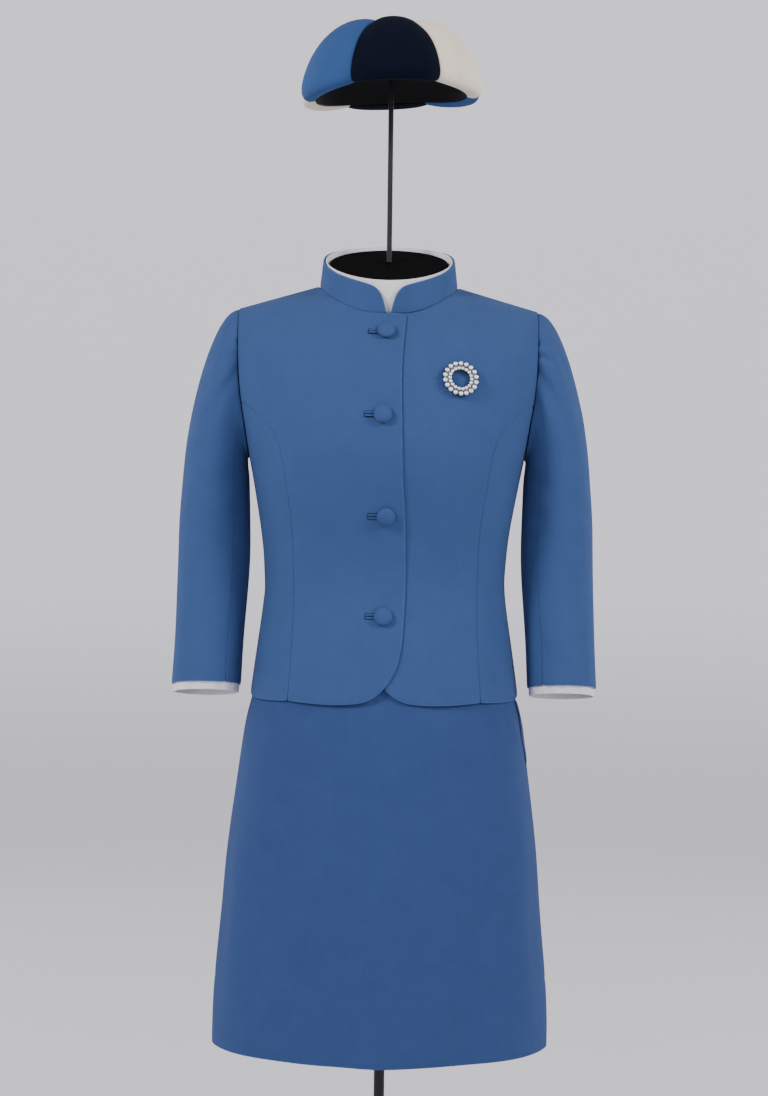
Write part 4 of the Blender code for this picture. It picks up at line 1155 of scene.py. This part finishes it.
class UNIFORM_OT_studio(MakePieces, Operator):
    """Make the floor, the backdrop, the lights and the camera"""

    bl_idname = "uniform.studio"
    bl_label = "Studio"

    def execute(self, context):
        studio = settings("uniform_studio")
        self.bowl()
        for name, place, size, share in KEY_LIGHTS:
            self.light(name, place, size, studio.key_power * share)
        for name, place, size, share in FILL_LIGHTS:
            self.light(name, place, size, studio.fill_power * share)
        world = bpy.data.worlds.new("studio_air")
        world.use_nodes = True
        air = world.node_tree.nodes["Background"]
        air.inputs["Color"].default_value = AIR_COLOUR
        air.inputs["Strength"].default_value = AIR_STRENGTH
        context.scene.world = world
        self.camera(context)
        return {"FINISHED"}

    def bowl(self):
        """A round floor that curves up into a wall on every side, open above."""
        flat = BOWL_REACH - BOWL_BEND
        profile = [(0, 0), (BOWL_INNER, 0), (flat, 0)]
        for step in range(1, BEND_STEPS + 1):
            angle = math.pi / 2 * step / BEND_STEPS
            profile.append((flat + BOWL_BEND * math.sin(angle),
                            BOWL_BEND - BOWL_BEND * math.cos(angle)))
        profile.append((BOWL_REACH, BOWL_TOP))
        bm = spun(profile, BOWL_STEPS)
        for face in bm.faces:
            face.smooth = True
        mesh = bpy.data.meshes.new("studio_floor")
        bm.to_mesh(mesh)
        bm.free()
        mesh.materials.append(backdrop("studio_paper"))
        floor = bpy.data.objects.new("studio_floor", mesh)
        bpy.context.scene.collection.objects.link(floor)
        floor.location.z = -FLOOR_DROP

    def light(self, name, place, size, power):
        lamp = bpy.data.lights.new(name, "AREA")
        lamp.shape = "DISK"
        lamp.size, lamp.energy = size, power
        held = bpy.data.objects.new(name, lamp)
        held.location = place
        aim = LIGHT_AIM - Vector(place)
        held.rotation_euler = aim.to_track_quat("-Z", "Y").to_euler()
        bpy.context.scene.collection.objects.link(held)

    def camera(self, context):
        lens = bpy.data.cameras.new("camera")
        lens.sensor_fit, lens.sensor_width = "AUTO", SENSOR_WIDTH
        half_height = PHOTO_ROWS / 2 * METRES_PER_PIXEL
        lens.lens = lens.sensor_width / 2 * CAMERA_DISTANCE / half_height
        view = bpy.data.objects.new("camera", lens)
        context.scene.collection.objects.link(view)
        right = Vector((math.cos(CAMERA_ROLL), 0, math.sin(CAMERA_ROLL)))
        up = Vector((-math.sin(CAMERA_ROLL), 0, math.cos(CAMERA_ROLL)))
        turn = Matrix((right, up, Vector((0, -1, 0)))).transposed().to_4x4()
        view.matrix_world = Matrix.Translation(
            (CAMERA_SIDE, -CAMERA_DISTANCE, CAMERA_HEIGHT)) @ turn
        context.scene.camera = view


class UNIFORM_PT_panel(Panel):
    """Lists the pieces of the uniform and their settings"""

    bl_idname = "UNIFORM_PT_panel"
    bl_label = "Uniform"
    bl_space_type = "VIEW_3D"
    bl_region_type = "UI"
    bl_category = "Uniform"

    def draw(self, context):
        for operator in MAKERS:
            self.layout.operator(operator.bl_idname)
        for group in GROUPS:
            box = self.layout.box()
            for field in GROUPS[group].__annotations__:
                box.prop(getattr(context.scene, group), field)


GROUPS = {"uniform_cloth": UniformCloth, "uniform_trim": UniformTrim,
          "uniform_studio": UniformStudio}
MAKERS = (UNIFORM_OT_studio, UNIFORM_OT_stand, UNIFORM_OT_jacket, UNIFORM_OT_buttons,
          UNIFORM_OT_brooch, UNIFORM_OT_blouse, UNIFORM_OT_skirt, UNIFORM_OT_cap)


def register():
    for kind in (*GROUPS.values(), *MAKERS, UNIFORM_PT_panel):
        bpy.utils.register_class(kind)
    for name, kind in GROUPS.items():
        setattr(bpy.types.Scene, name, PointerProperty(type=kind))


def unregister():
    for name in GROUPS:
        delattr(bpy.types.Scene, name)
    for kind in reversed((*GROUPS.values(), *MAKERS, UNIFORM_PT_panel)):
        bpy.utils.unregister_class(kind)


def main():
    register()
    for maker in MAKERS:
        section, name = maker.bl_idname.split(".")
        getattr(getattr(bpy.ops, section), name)()


if __name__ == "__main__":
    main()
